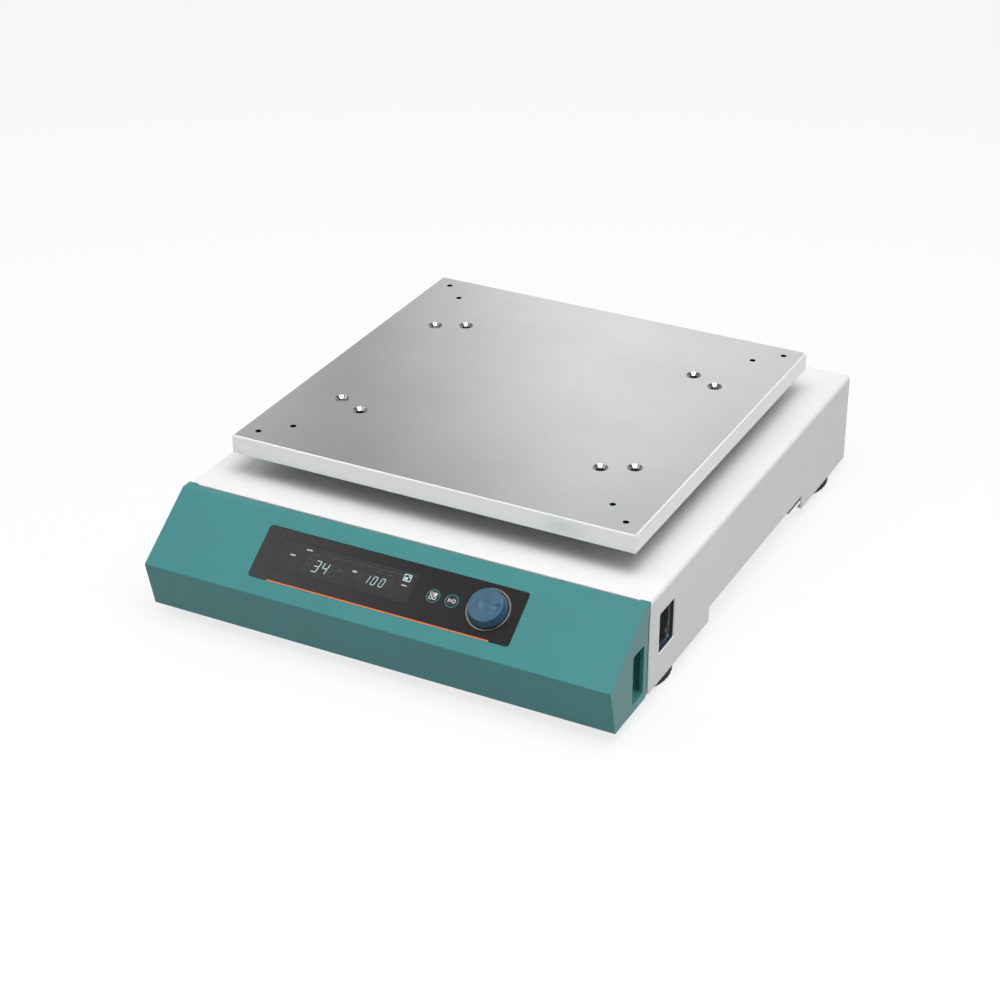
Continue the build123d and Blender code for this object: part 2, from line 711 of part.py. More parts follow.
def accent_strip():
    """Thin coloured strip along the lower edge of the panel."""
    low = -overlay_sink - overlay_thickness
    y = -panel_height / 2
    return on_panel(
        block((-accent_length / 2 + 0.05, y, low), (accent_length / 2 - 0.05, y + accent_height - 0.05, -overlay_sink))
    )


def display_glass():
    """Cover glass of the display, in the panel's window."""
    return on_panel(
        slab(display_width - 0.2, display_height - 0.2, 0.7, -front_wall - 0.2, -overlay_sink - 0.1, display_x, display_y)
    )


def display_module():
    """Display frame between its board and the glass."""
    return on_panel(
        slab(display_width + 5.6, display_height + 6, 1, -board_depth, -front_wall - 0.2, display_x, display_y)
    )


def display_board():
    """Circuit board behind the control face."""
    board = slab(panel_width - 2, panel_height - 8, 1, -board_depth - board_thickness, -board_depth)
    for x, y in panel_boss_places:
        board -= post(x, y, m3[0] + 0.2, -board_depth - 3, -board_depth + 1)
    return on_panel(board)


def button_switch(x):
    """Tactile switch under a button: a square body and a plunger."""
    body = slab(6, 6, 0.5, -board_depth, switch_top, x, button_y)
    return on_panel(body + post(x, button_y, 1.7, switch_top - 0.5, plunger_top))


def push_button(x):
    """Round button: a cap in its collar, a flange that stops it and a stem over the switch."""
    cap_top = 0.1
    cap = post(x, button_y, button_radius, flange_top - 0.5, cap_top)
    cap = fillet(cap.edges().group_by(Axis.Z)[-1], 0.3)
    cap += post(x, button_y, button_radius + 1.2, flange_top - 1.2, flange_top)
    return on_panel(cap + post(x, button_y, 2, plunger_top + button_travel + 0.1, flange_top - 1))


def encoder_body():
    """Rotary encoder on the board: a hollow square body with a bushing up through the panel."""
    body = slab(encoder_size, encoder_size, 0.8, -board_depth, encoder_top, knob_x, knob_y)
    body += post(knob_x, knob_y, bushing_radius, encoder_top - 0.5, -overlay_sink)
    body -= post(knob_x, knob_y, encoder_cavity, -board_depth + 0.5, encoder_top - 1)
    return on_panel(body - post(knob_x, knob_y, encoder_shaft_radius + shaft_running_gap, -board_depth + 0.5, 1))


def encoder_rotor():
    """Contact disc that turns with the encoder's shaft."""
    return on_panel(
        tube(
            knob_x,
            knob_y,
            encoder_cavity - 0.4,
            encoder_shaft_radius + shaft_running_gap,
            -board_depth + 1.6,
            encoder_top - 1.3,
        )
    )


def encoder_shaft():
    """Shaft from the contact disc up into the knob."""
    return on_panel(post(knob_x, knob_y, encoder_shaft_radius, shaft_low, knob_low + knob_height - 2))


def control_knob():
    """Turned knob: a tapered skirt, a dished centre and a finger dimple, hollow underneath."""
    top = knob_low + knob_height
    body = Pos(knob_x, knob_y, knob_low + knob_height / 2) * Cone(knob_base_radius, knob_top_radius, knob_height)
    body = fillet(body.edges().group_by(Axis.Z)[-1], 0.8)
    dish = 60.0
    body -= Pos(knob_x, knob_y, top - 0.25 + dish / 5) * Sphere(dish / 5)
    body -= Pos(knob_x + 9.3, knob_y, top + 3.4) * Sphere(4.6)
    body -= tube(knob_x, knob_y, knob_base_radius - 2.5, encoder_shaft_radius + 3, knob_low - 1, top - 3)
    return on_panel(body - post(knob_x, knob_y, encoder_shaft_radius + fit_gap, knob_low - 1, top - 2))


def knob_ring():
    """Bright ring on the panel round the knob's skirt."""
    inner = knob_ring_radius - knob_ring_wall
    return on_panel(tube(knob_x, knob_y, knob_ring_radius, inner, -overlay_sink, -overlay_sink + knob_ring_height))


def control_board():
    """Drive electronics: a board with a cut corner, and its soldered parts."""
    corner = 9.0
    outline = Polygon(
        (board_left_x, board_front_y),
        (board_right_x, board_front_y),
        (board_right_x, board_back_y - corner),
        (board_right_x - corner, board_back_y),
        (board_left_x, board_back_y),
        align=None,
    )
    board = Pos(0, 0, board_z) * extrude(outline, board_thickness)
    for cutter in holes(m3[0] + 0.2, board_screw_places, board_z - 1, board_z + 3):
        board -= cutter
    deck = board_z + board_thickness - 0.1
    front = board_front_y
    board += block((board_left_x + 16, front + 6, deck), (board_left_x + 46, front + 30, deck + 16))
    for step in range(7):
        x = board_left_x + 18 + 4 * step
        board += block((x, front + 8, deck + 15), (x + 1.6, front + 28, deck + 24))
    for step in range(3):
        board += post(board_left_x + 58 + 15 * step, front + 20, 6, deck, deck + 20)
    board += block((board_left_x + 50, front + 34, deck), (board_left_x + 90, front + 42, deck + 8))
    return board


def power_supply():
    """Power supply in a slotted cage with two fixing ears."""
    cage = block(
        (supply_left_x, supply_front_y, pan_top), (supply_right_x, supply_back_y, pan_top + supply_height)
    )
    cage = fillet(cage.edges().filter_by(Axis.Z), 1.5)
    for step in range(9):
        x = supply_left_x + 13 + 11.5 * step
        cage -= block(
            (x - 2, supply_front_y + 7, pan_top + supply_height - 1.2),
            (x + 2, supply_back_y - 7, pan_top + supply_height + 1),
        )
    for x, y in supply_screw_places:
        ear = block((x - 6, y - 8, pan_top), (x + 6, y + 8, pan_top + 2))
        cage += ear
        cage -= post(x, y, m3[0] + 0.2, pan_top - 1, pan_top + 3)
    return cage


def rear_panel():
    """Rear wall with openings for the inlet and the switch, a row of vents and a folded top edge."""
    high = cover_under_z - seat_gap
    wall = block((-liner_inner_x, pan_back_y, pan_z), (liner_inner_x, rear_panel_y, high))
    wall += block(
        (-liner_inner_x + 10, rear_panel_y - 12, high - pan_sheet), (liner_inner_x - 10, rear_panel_y, high)
    )
    wall -= block(
        (inlet_x - 13.8, pan_back_y - 1, inlet_z - 10.3), (inlet_x + 13.8, rear_panel_y + 1, inlet_z + 10.3)
    )
    wall -= block(
        (switch_x - 9.8, pan_back_y - 1, inlet_z - 13.3), (switch_x + 9.8, rear_panel_y + 1, inlet_z + 13.3)
    )
    for step in range(10):
        x = -150 + 9 * step
        vent = slab(3, 30, 1.4, -2, 4)
        wall -= Pos(x, rear_panel_y, inlet_z + 3) * Rot(90, 0, 0) * vent
    for side in (-1, 1):
        wall -= along_y(inlet_x + side * 20, inlet_z, m3[0] + 0.2, pan_back_y - 1, rear_panel_y + 1)
    for x in rear_panel_screws_x:
        wall -= along_y(x, pan_top + 6, m3[0] + 0.2, pan_back_y - 1, rear_panel_y + 1)
    return wall


def mains_inlet():
    """Appliance inlet: a flange with two ears, a body behind the panel and the plug's cavity."""
    flange = Pos(inlet_x, inlet_face_y, inlet_z) * Rot(90, 0, 0) * extrude(RectangleRounded(50, 22.5, 3), inlet_face_y - rear_panel_y)
    body = flange + block(
        (inlet_x - 13.5, rear_panel_y - 24, inlet_z - 10), (inlet_x + 13.5, rear_panel_y + 0.5, inlet_z + 10)
    )
    mouth = Polygon((-12.2, -8.2), (12.2, -8.2), (12.2, 3.5), (7.5, 8.2), (-7.5, 8.2), (-12.2, 3.5), align=None)
    body -= Pos(inlet_x, inlet_face_y + 1, inlet_z) * Rot(90, 0, 0) * extrude(mouth, 18)
    for side in (-1, 1):
        body -= along_y(inlet_x + side * 20, inlet_z, m3[0] + 0.2, rear_panel_y - 1, back_y + 1)
        body -= along_y(inlet_x + side * 20, inlet_z, 2.8, inlet_screw_y, back_y + 1)
    return body


def inlet_pins():
    """Three flat pins on the floor of the inlet's cavity."""
    floor_y = inlet_face_y + 1 - 18
    places = [(-7.0, -2.0), (7.0, -2.0), (0.0, 2.0)]
    return [
        block((inlet_x + x - 1, floor_y, inlet_z + z - 2), (inlet_x + x + 1, floor_y + 13, inlet_z + z + 2))
        for x, z in places
    ]


def switch_frame():
    """Frame of the power switch, through the rear panel."""
    frame = block(
        (switch_x - 10.8, rear_panel_y, inlet_z - 14.5), (switch_x + 10.8, rear_panel_y + 1.5, inlet_z + 14.5)
    )
    frame += block(
        (switch_x - 9.5, rear_panel_y - 17, inlet_z - 13), (switch_x + 9.5, rear_panel_y + 0.5, inlet_z + 13)
    )
    frame -= block(
        (switch_x - 7, rear_panel_y - 14, inlet_z - 11.3), (switch_x + 7, rear_panel_y + 3, inlet_z + 11.3)
    )
    pivot = Pos(switch_x, switch_pivot_y, inlet_z) * Rot(0, 90, 0)
    return frame - pivot * Cylinder(1.5 + shaft_running_gap, 17)


def power_rocker():
    """Rocker of the power switch: two faces at an angle, on a pivot across the frame."""
    outline = Polygon((-5, -8), (2.2, -10), (0.6, 0), (2.2, 10), (-5, 8), align=None)
    rocker = across(outline, -6.7, 6.7)
    rocker += Rot(0, 90, 0) * Cylinder(1.5, 16.4)
    return Pos(switch_x, switch_pivot_y, inlet_z) * Rot(-switch_tilt, 0, 0) * rocker


def foot(x, y):
    """Round rubber foot: a ribbed disc, a neck up to the pan and a sunk screw."""
    count = 2 * foot_rib_count
    rim = [
        (
            (foot_radius - foot_rib_depth * (i % 2)) * math.cos(2 * math.pi * i / count),
            (foot_radius - foot_rib_depth * (i % 2)) * math.sin(2 * math.pi * i / count),
        )
        for i in range(count)
    ]
    disc = Pos(0, 0, 2.5) * extrude(Polygon(*rim, align=None), foot_disc_height - 2.5)
    sole = Pos(0, 0, 1.25) * Cone(foot_radius - 3.5, foot_radius - foot_rib_depth, 2.5)
    body = disc + sole + post(0, 0, foot_neck_radius, foot_disc_height - 1, pan_z)
    body -= post(0, 0, m5[1] + 1.5, -1, foot_seat_z)
    return Pos(x, y, 0) * (body - post(0, 0, m5[0] + 0.1, -1, pan_z + 1))


hub_radius = 26.0
eccentric_screw_places = circle_places(4, hub_radius - 5.5, 0, drive_y, 0)
weight_screw_places = circle_places(12, (wheel_radius + hub_radius) / 2, 0, drive_y)[2:5]
stud_offset = post_radius + 5.5
bushing_radius = encoder_shaft_radius + 0.9
panel_boss_places = [(sx * (panel_width / 2 - 5), sy * (panel_height / 2 - 8.4)) for sx, sy in corner_signs]
flange_top = -front_wall - 0.3
plunger_top = flange_top - 3.1
switch_top = plunger_top - 0.8
encoder_top = -front_wall - 1.6
encoder_cavity = encoder_size / 2 - 1.5
knob_low = -overlay_sink + knob_ring_height
shaft_low = -board_depth + 0.5 + knob_travel + 0.2
rear_panel_screws_x = (-170.0, -60.0, 50.0, 180.0)


def m3_screws():
    """Small screws of the boards, the inlet, the rear panel and the power supply."""
    found = screws(m3, 8, board_screw_places, board_z + board_thickness)
    found += screws(m3, 4, supply_screw_places, pan_top + 2)
    found += [on_panel(Pos(x, y, -board_depth - board_thickness) * Rot(180, 0, 0) * cap_screw(m3, 6))
              for x, y in panel_boss_places]
    rearward = Rot(-90, 0, 0)
    for x in rear_panel_screws_x:
        found.append(Pos(x, rear_panel_y, pan_top + 6) * rearward * cap_screw((m3[0], m3[1], 1.8), 6))
    for side in (-1, 1):
        found.append(Pos(inlet_x + side * 20, inlet_screw_y, inlet_z) * rearward * cap_screw((m3[0], 2.6, 1.0), 6))
    return found


def m4_screws():
    """Screws of the idler housings, the wheel's parts and the front cover."""
    found = screws(m4, 9, idler_screw_places, drive_top + 5)
    for x, z in front_boss_places:
        found.append(Pos(x, pan_front_y + pan_sheet, z) * Rot(-90, 0, 0) * cap_screw(m4, 12))
    return found


def m5_screws():
    """Screws of the drive plate, the main housing, the motor mount and the feet."""
    found = screws(m5, 9, main_screw_places, drive_top + 5)
    found += screws(m5, drive_plate_thickness + pan_sheet, plate_screw_places, drive_top)
    found += screws(m5, motor_plate_thickness + pan_sheet, motor_plate_places, motor_plate_top)
    found += screws(m5, pan_top - foot_seat_z, foot_places, foot_seat_z, up=False)
    return found


def board_standoff(x, y):
    """Hexagon spacer under the control board."""
    spacer = Pos(x, y, pan_top) * extrude(RegularPolygon(3.2, 6), board_z - pan_top)
    return spacer - post(x, y, m3[0] + fit_gap, pan_top - 1, board_z + 1)


def write_chassis():
    """Pieces that stand still."""
    save("top_cover", top_cover())
    save("side_liner_left", liner(-1))
    save("side_liner_right", liner(1))
    save("base_pan", base_pan())
    save("rear_panel", rear_panel())
    save("drive_plate", drive_plate())
    save(
        "main_bearing_housing",
        bearing_housing(
            0, drive_y, main_ring_radius, main_ring_width, main_upper_z, flange_radius, m5, main_screw_places
        ),
    )
    housings = [
        bearing_housing(
            x, y, idler_ring_radius, small_ring_width, idler_upper_z, idler_flange_radius, m4, idler_screw_places
        )
        for x, y in idler_places
    ]
    save("idler_bearing_housings", *housings)
    rings = [
        outer_ring(0, drive_y, main_ring_radius, shaft_radius, low, main_ring_width)
        for low in (drive_top, main_upper_z)
    ]
    for x, y in idler_places:
        for low in (drive_top, idler_upper_z):
            rings.append(outer_ring(x, y, idler_ring_radius, idler_radius, low, small_ring_width))
    save("fixed_outer_rings", *rings)
    save("motor_mount", motor_mount())
    save("motor_body", motor_body())
    save("drive_belt", drive_belt())
    save("power_supply", power_supply())
    save("control_board", control_board())
    save("board_standoffs", *[board_standoff(x, y) for x, y in board_screw_places])
    save("mains_inlet", mains_inlet())
    save("inlet_pins", *inlet_pins())
    save("switch_frame", switch_frame())
    for (x, y), name in zip(foot_places, corner_names):
        save(f"foot_{name}", foot(x, y))
    save("m3_screws", *m3_screws())
    save("m4_screws", *m4_screws())
    save("m5_screws", *m5_screws())
    save("cover_screws", *screws(m4, 6, cover_screw_places, pan_z - cover_sheet, up=False))


def write_control_face():
    """Front cover and what it holds."""
    save("front_cover", front_cover())
    save("panel_overlay", panel_overlay())
    save("accent_strip", accent_strip())
    save("display_glass", display_glass())
    save("display_module", display_module())
    save("display_board", display_board())
    save("button_switches", button_switch(menu_button_x), button_switch(start_button_x))
    save("menu_button", push_button(menu_button_x))
    save("start_button", push_button(start_button_x))
    save("encoder_body", encoder_body())
    save("encoder_rotor", encoder_rotor())
    save("encoder_shaft", encoder_shaft())
    save("control_knob", control_knob())
    save("knob_ring", knob_ring())


def write_moving_parts():
    """Drive, idlers, motor rotor, rocker, and the carriage with its platform."""
    save("main_shaft", main_shaft())
    save("drive_wheel", drive_wheel())
    save("eccentric_hub", eccentric_hub())
    save("counterweight", counterweight())
    inner = [inner_ring(0, drive_y, shaft_radius, low, main_ring_width) for low in (drive_top, main_upper_z)]
    save("main_inner_rings", *inner, inner_ring(0, platform_y, pin_radius, carriage_z, small_ring_width))
    sunk = screws(m4, 8, eccentric_screw_places + weight_screw_places, eccentric_top - m4[2])
    save("crank_screws", *sunk, pin_screw(0, platform_y, pin_radius, carriage_z + small_ring_width))
    for (x, y), name in zip(idler_places, corner_names):
        save(f"idler_crank_{name}", *idler_crank(x, y))
    save("carriage", carriage())
    rings = [outer_ring(0, platform_y, pin_ring_radius, pin_radius, carriage_z, small_ring_width)]
    for x, y in idler_places:
        rings.append(
            outer_ring(x, y - orbit_radius, idler_ring_radius, idler_radius, carriage_z, small_ring_width)
        )
    save("carriage_outer_rings", *rings)
    save("platform_posts", *[platform_post(x, y - orbit_radius) for x, y in post_places])
    moved = [(x, y - orbit_radius) for x, y in post_places]
    save("post_screws", *screws(m8, carriage_thickness + 14, moved, carriage_z, up=False))
    save("platform", platform())
    nuts = [stud_nut(x + side * stud_offset, y) for x, y in moved for side in (-1, 1)]
    save("platform_nuts", *nuts)
    low = motor_plate_top + 4
    save("motor_shaft", post(0, motor_y, motor_shaft_radius, low, belt_z + belt_width / 2 + 3))
    save("motor_wheel", motor_wheel())
    save("power_rocker", power_rocker())


os.makedirs("parts", exist_ok=True)
write_chassis()
write_control_face()
write_moving_parts()
print("height", platform_top, "depth", housing_depth + front_reach, "slope", math.degrees(slope_angle))
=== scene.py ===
# %% [markdown]
# # Dressing a bench orbital shaker
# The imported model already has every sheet, screw and bearing in its real place. This lesson gives
# each one its finish, and adds the fine things that a solid model leaves out: the lit figures of
# the display, the signs on the buttons, the dishes of the knob, the ribs of the feet and the
# pockets behind the end slots.
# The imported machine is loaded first, because everything else is placed by it.

# %% Load the machine and the tools
import json
import math

import bmesh
import bpy
import numpy as np
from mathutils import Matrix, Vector


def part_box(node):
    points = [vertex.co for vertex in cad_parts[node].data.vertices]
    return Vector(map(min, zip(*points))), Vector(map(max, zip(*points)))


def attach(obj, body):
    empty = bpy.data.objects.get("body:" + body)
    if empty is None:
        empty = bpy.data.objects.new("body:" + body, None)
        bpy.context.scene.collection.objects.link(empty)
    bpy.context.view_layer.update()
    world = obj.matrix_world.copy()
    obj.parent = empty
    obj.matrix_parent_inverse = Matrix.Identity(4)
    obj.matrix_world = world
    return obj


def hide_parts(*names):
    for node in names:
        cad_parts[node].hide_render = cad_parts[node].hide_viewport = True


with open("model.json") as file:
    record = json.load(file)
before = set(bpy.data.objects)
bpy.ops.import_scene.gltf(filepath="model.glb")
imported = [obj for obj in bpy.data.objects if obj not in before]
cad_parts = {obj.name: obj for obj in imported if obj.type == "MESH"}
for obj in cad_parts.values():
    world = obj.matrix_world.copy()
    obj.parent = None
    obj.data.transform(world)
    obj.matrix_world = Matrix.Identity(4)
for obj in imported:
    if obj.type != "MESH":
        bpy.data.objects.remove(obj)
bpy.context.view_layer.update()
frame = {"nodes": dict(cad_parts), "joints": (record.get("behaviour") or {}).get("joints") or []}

MM = 0.001

# %% [markdown]
# ## The slanted control face
# The display, the buttons and the knob all lie on one slanted face. The knob's own axis stands
# square on that face, so the joint of the knob gives the face's direction and one of its points.
# With those, a place on the face can be written as millimetres across, up the slope and outwards,
# counted from the middle of the face.

# %% Directions of the control face
KNOB_ACROSS = 85.9
KNOB_UP = 1.6
knob_turn = next(joint for joint in frame["joints"] if joint["name"] == "knob_turn")
outward = np.array(knob_turn["axis"])
across = np.array([1.0, 0.0, 0.0])
upslope = np.cross(outward, across)
face_centre = np.array(knob_turn["pos_m"]) - MM * (KNOB_ACROSS * across + KNOB_UP * upslope)


def on_face(u, v, w):
    """Centre plus u across, v up the slope and w outwards, all in millimetres, as arrays of one shape."""
    u, v, w = np.broadcast_arrays(np.asarray(u, float), v, w)
    return face_centre + MM * (u[..., None] * across + v[..., None] * upslope + w[..., None] * outward)


print("slope", round(math.degrees(math.acos(outward[2])), 2), "centre", np.round(face_centre, 4))

# %% [markdown]
# ## Turning formulas into meshes
# A surface here is a grid of points, one row after another. The faces of a grid follow from its
# counting alone, so they are worked out as whole arrays. A turned piece is a grid whose columns
# close on themselves, with one single point at each pole, so that it is shut like a real solid.


# %% Pieces from points, and turned grids
def add_piece(name, points, faces, smooth, material, body, slot):
    """Puts points and faces into a mesh object that rides on a body of the machine."""
    mesh = bpy.data.meshes.new(name)
    mesh.from_pydata(np.asarray(points).reshape(-1, 3).tolist(), [], faces)
    mesh.polygons.foreach_set("use_smooth", np.full(len(mesh.polygons), smooth))
    mesh.materials.append(material)
    mesh.update()
    piece = bpy.data.objects.new(name, mesh)
    bpy.context.scene.collection.objects.link(piece)
    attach(piece, body)
    return piece


def turned_faces(rows, columns):
    """Quads between the rows of a closed ring grid, and a fan of triangles round each pole."""
    row, column = np.meshgrid(np.arange(rows - 1), np.arange(columns), indexing="ij")
    after = (column + 1) % columns
    quads = np.stack([row * columns + column, row * columns + after,
                      (row + 1) * columns + after, (row + 1) * columns + column], -1)
    ring = np.arange(columns)
    turn = (ring + 1) % columns
    first, last = rows * columns, rows * columns + 1
    low_fan = np.stack([turn, ring, np.full(columns, first)], -1)
    top = (rows - 1) * columns
    high_fan = np.stack([top + ring, top + turn, np.full(columns, last)], -1)
    return quads.reshape(-1, 4).tolist() + low_fan.tolist() + high_fan.tolist()


print("a turned grid of 3 rows and 8 columns has", len(turned_faces(3, 8)), "faces")

# %% [markdown]
# ## Thin plates on the control face
# A lit bar or a printed sign is a thin plate of one flat outline. It could be a flat picture, but a
# real plate stays sharp from near by.


# %% Raise outlines to plates
def prism(outlines, low, high):
    """Closed plates: each outline is a ring of (u, v) points, raised from w = low to w = high."""
    points, faces, start = [], [], 0
    for outline in outlines:
        ring = np.asarray(outline, float)
        count = len(ring)
        points.append(on_face(ring[:, 0], ring[:, 1], low))
        points.append(on_face(ring[:, 0], ring[:, 1], high))
        order = np.arange(count)
        after = (order + 1) % count
        walls = start + np.stack([order, after, count + after, count + order], -1)
        faces += walls.tolist() + [(start + order[::-1]).tolist(), (start + count + order).tolist()]
        start += 2 * count
    return np.concatenate(points), faces


one_square = [(0, 0), (1, 0), (1, 1), (0, 1)]
print("a square plate has", len(prism([one_square], 0, 1)[1]), "faces")

# %% [markdown]
# ## Plain finishes
# Every finish starts from the shader's own colour, roughness and metal values, set straight on its
# sockets. Colours are written as a screen shows them, from 0 to 255, and are turned into the linear
# values in which light adds up.


# %% Colour and plain finish
def linear(red, green, blue):
    """A screen colour of 0 to 255 as linear values: a power of 2.4, and a straight line when dark."""
    screen = np.array([red, green, blue]) / 255
    return (*np.where(screen > 0.04045, ((screen + 0.055) / 1.055) ** 2.4, screen / 12.92), 1.0)


def finish_of(name, color, roughness, metallic=0.0, **sockets):
    """A Principled material with its plain values set straight on the shader."""
    material = bpy.data.materials.new(name)
    material.use_nodes = True
    shader = material.node_tree.nodes["Principled BSDF"]
    shader.inputs["Base Color"].default_value = color
    shader.inputs["Roughness"].default_value = roughness
    shader.inputs["Metallic"].default_value = metallic
    for socket, value in sockets.items():
        shader.inputs[socket.replace("_", " ")].default_value = value
    return material


def tree_of(material):
    """The nodes and links of a finish, and its shader."""
    tree = material.node_tree
    return tree.nodes, tree.links, tree.nodes["Principled BSDF"]


print("a middle grey of 128 is", round(linear(128, 128, 128)[0], 3), "in linear light")

# %% [markdown]
# ## Relief and broken edges
# No real surface is quite flat: powder coat has a fine skin, moulded plastic a grain, and every
# sharp edge is a little broken. Noise gives the skin and the Bevel node the edges, both in the
# shading alone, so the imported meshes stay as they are. The noise reads Object coordinates: its
# lumps are in real size and stay in place on the piece when the machine moves.

# %% Noise and fine relief
EDGE_RADIUS = 0.35
EDGE_SAMPLES = 6
GRAIN_DETAIL = 3.0
EVEN = (1, 1, 1)


def noise_of(material, size_mm, detail, squeeze=EVEN):
    """Noise whose lumps measure size_mm, and less along an axis where squeeze is over 1."""
    nodes, links, _ = tree_of(material)
    place = nodes.new("ShaderNodeTexCoord")
    mapping = nodes.new("ShaderNodeMapping")
    mapping.inputs["Scale"].default_value = squeeze
    noise = nodes.new("ShaderNodeTexNoise")
    noise.inputs["Scale"].default_value = 1.0 / (size_mm * MM)
    noise.inputs["Detail"].default_value = detail
    links.new(place.outputs["Object"], mapping.inputs["Vector"])
    links.new(mapping.outputs["Vector"], noise.inputs["Vector"])
    return noise.outputs["Fac"]


def grain(material, size_mm, height_mm, strength, squeeze=EVEN, edge_mm=EDGE_RADIUS):
    """Fine relief from noise, laid over edges that are shaded as rounded by edge_mm."""
    nodes, links, shader = tree_of(material)
    bump = nodes.new("ShaderNodeBump")
    bump.inputs["Strength"].default_value = strength
    bump.inputs["Distance"].default_value = height_mm * MM
    links.new(noise_of(material, size_mm, GRAIN_DETAIL, squeeze), bump.inputs["Height"])
    if edge_mm:
        bevel = nodes.new("ShaderNodeBevel")
        bevel.samples = EDGE_SAMPLES
        bevel.inputs["Radius"].default_value = edge_mm * MM
        links.new(bevel.outputs["Normal"], bump.inputs["Normal"])
    links.new(bump.outputs["Normal"], shader.inputs["Normal"])


print("edges are shaded as rounded by", EDGE_RADIUS, "mm")

# %% [markdown]
# ## Uneven colour and gloss
# Paint and plastic differ a little in colour from place to place, and a wiped place shines more.
# Both are a blend by soft noise: the colour between two near shades, the roughness between two
# near values.

# %% Uneven colour and gloss
MOTTLE_FROM = 0.35
MOTTLE_TO = 0.65
MOTTLE_DETAIL = 4.0
POLISH_DETAIL = 3.0


def feed(links, socket, value):
    """Links another node's output to a socket, or sets a plain value on the socket itself."""
    if isinstance(value, bpy.types.NodeSocket):
        links.new(value, socket)
    else:
        socket.default_value = value


def blend(nodes, links, factor, first, second, way="MIX"):
    """Blend of two colours: first where the factor is 0, second where it is 1."""
    mix = nodes.new("ShaderNodeMix")
    mix.data_type = "RGBA"
    mix.blend_type = way
    for socket, value in (("Factor", factor), ("A", first), ("B", second)):
        feed(links, mix.inputs[socket], value)
    return mix.outputs["Result"]


def mottle(material, other_color, size_mm):
    """Blends the shader's colour with another one by noise."""
    nodes, links, shader = tree_of(material)
    own_color = shader.inputs["Base Color"].default_value
    span = nodes.new("ShaderNodeMapRange")
    span.inputs["From Min"].default_value = MOTTLE_FROM
    span.inputs["From Max"].default_value = MOTTLE_TO
    links.new(noise_of(material, size_mm, MOTTLE_DETAIL), span.inputs["Value"])
    mixed = blend(nodes, links, span.outputs["Result"], own_color, other_color)
    links.new(mixed, shader.inputs["Base Color"])


def polish(material, size_mm, low, high):
    """Moves the roughness between two values by noise, as handling and wiping do."""
    nodes, links, shader = tree_of(material)
    span = nodes.new("ShaderNodeMapRange")
    span.inputs["To Min"].default_value = low
    span.inputs["To Max"].default_value = high
    links.new(noise_of(material, size_mm, POLISH_DETAIL), span.inputs["Value"])
    links.new(span.outputs["Result"], shader.inputs["Roughness"])


print("colours blend where the noise runs from", MOTTLE_FROM, "to", MOTTLE_TO)

# %% [markdown]
# ## Painted housing and moulded front
# The housing is folded sheet with a fine powder coat, nearly white. The front is a moulding in a
# muted blue green with a fine grain. Both are rather dull, so their bright edges come from broken
# corners and not from gloss.

# %% Housing white, front green and the dark sheet
LOW_GLOSS = 0.35
white_coat = finish_of("white_powder_coat", linear(243, 243, 243), roughness=0.42)
grain(white_coat, size_mm=0.7, height_mm=0.02, strength=0.5)
mottle(white_coat, linear(240, 240, 241), size_mm=60)
polish(white_coat, size_mm=4, low=0.38, high=0.5)
green_moulding = finish_of("blue_green_moulding", linear(60, 138, 138), roughness=0.45,
                           Specular_IOR_Level=LOW_GLOSS, Sheen_Weight=0.2)
grain(green_moulding, size_mm=0.35, height_mm=0.02, strength=0.5)
mottle(green_moulding, linear(58, 134, 134), size_mm=45)
polish(green_moulding, size_mm=6, low=0.4, high=0.52)
navy_sheet = finish_of("navy_damping_sheet", linear(22, 38, 60), roughness=0.6)
grain(navy_sheet, size_mm=0.5, height_mm=0.04, strength=0.6)
mottle(navy_sheet, linear(30, 50, 74), size_mm=8)
print("painted finishes", white_coat.name, green_moulding.name, navy_sheet.name)

# %% [markdown]
# ## Masks of the platform
# The platform is one folded sheet, but its faces look different under the light: the top is a soft
# mirror, the flanges are nearly white, the sunk cones and the underside greyer, and the holes dark
# inside. Here these looks are painted into the colour: the flanges' white is a painted reflection,
# the grey and the dark are painted shade. Four materials would need the sheet cut up. Masks in one
# material tell the faces apart instead, by where a face looks and by how far it lies from the
# platform's middle.

# %% Masks by facing and by reach
FLANGE_BAND = 3.0
TOP_FACING = 0.97
WALL_FACING = 0.3
platform_low, platform_high = (np.array(corner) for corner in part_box("platform"))
platform_middle = (platform_low + platform_high) / 2
platform_half = (platform_high[0] - platform_low[0]) / 2


def reckon(nodes, links, operation, *values):
    """One Math node on outputs of other nodes or plain numbers."""
    node = nodes.new("ShaderNodeMath")
    node.operation = operation
    for socket, value in zip(node.inputs, values):
        feed(links, socket, value)
    return node.outputs[0]


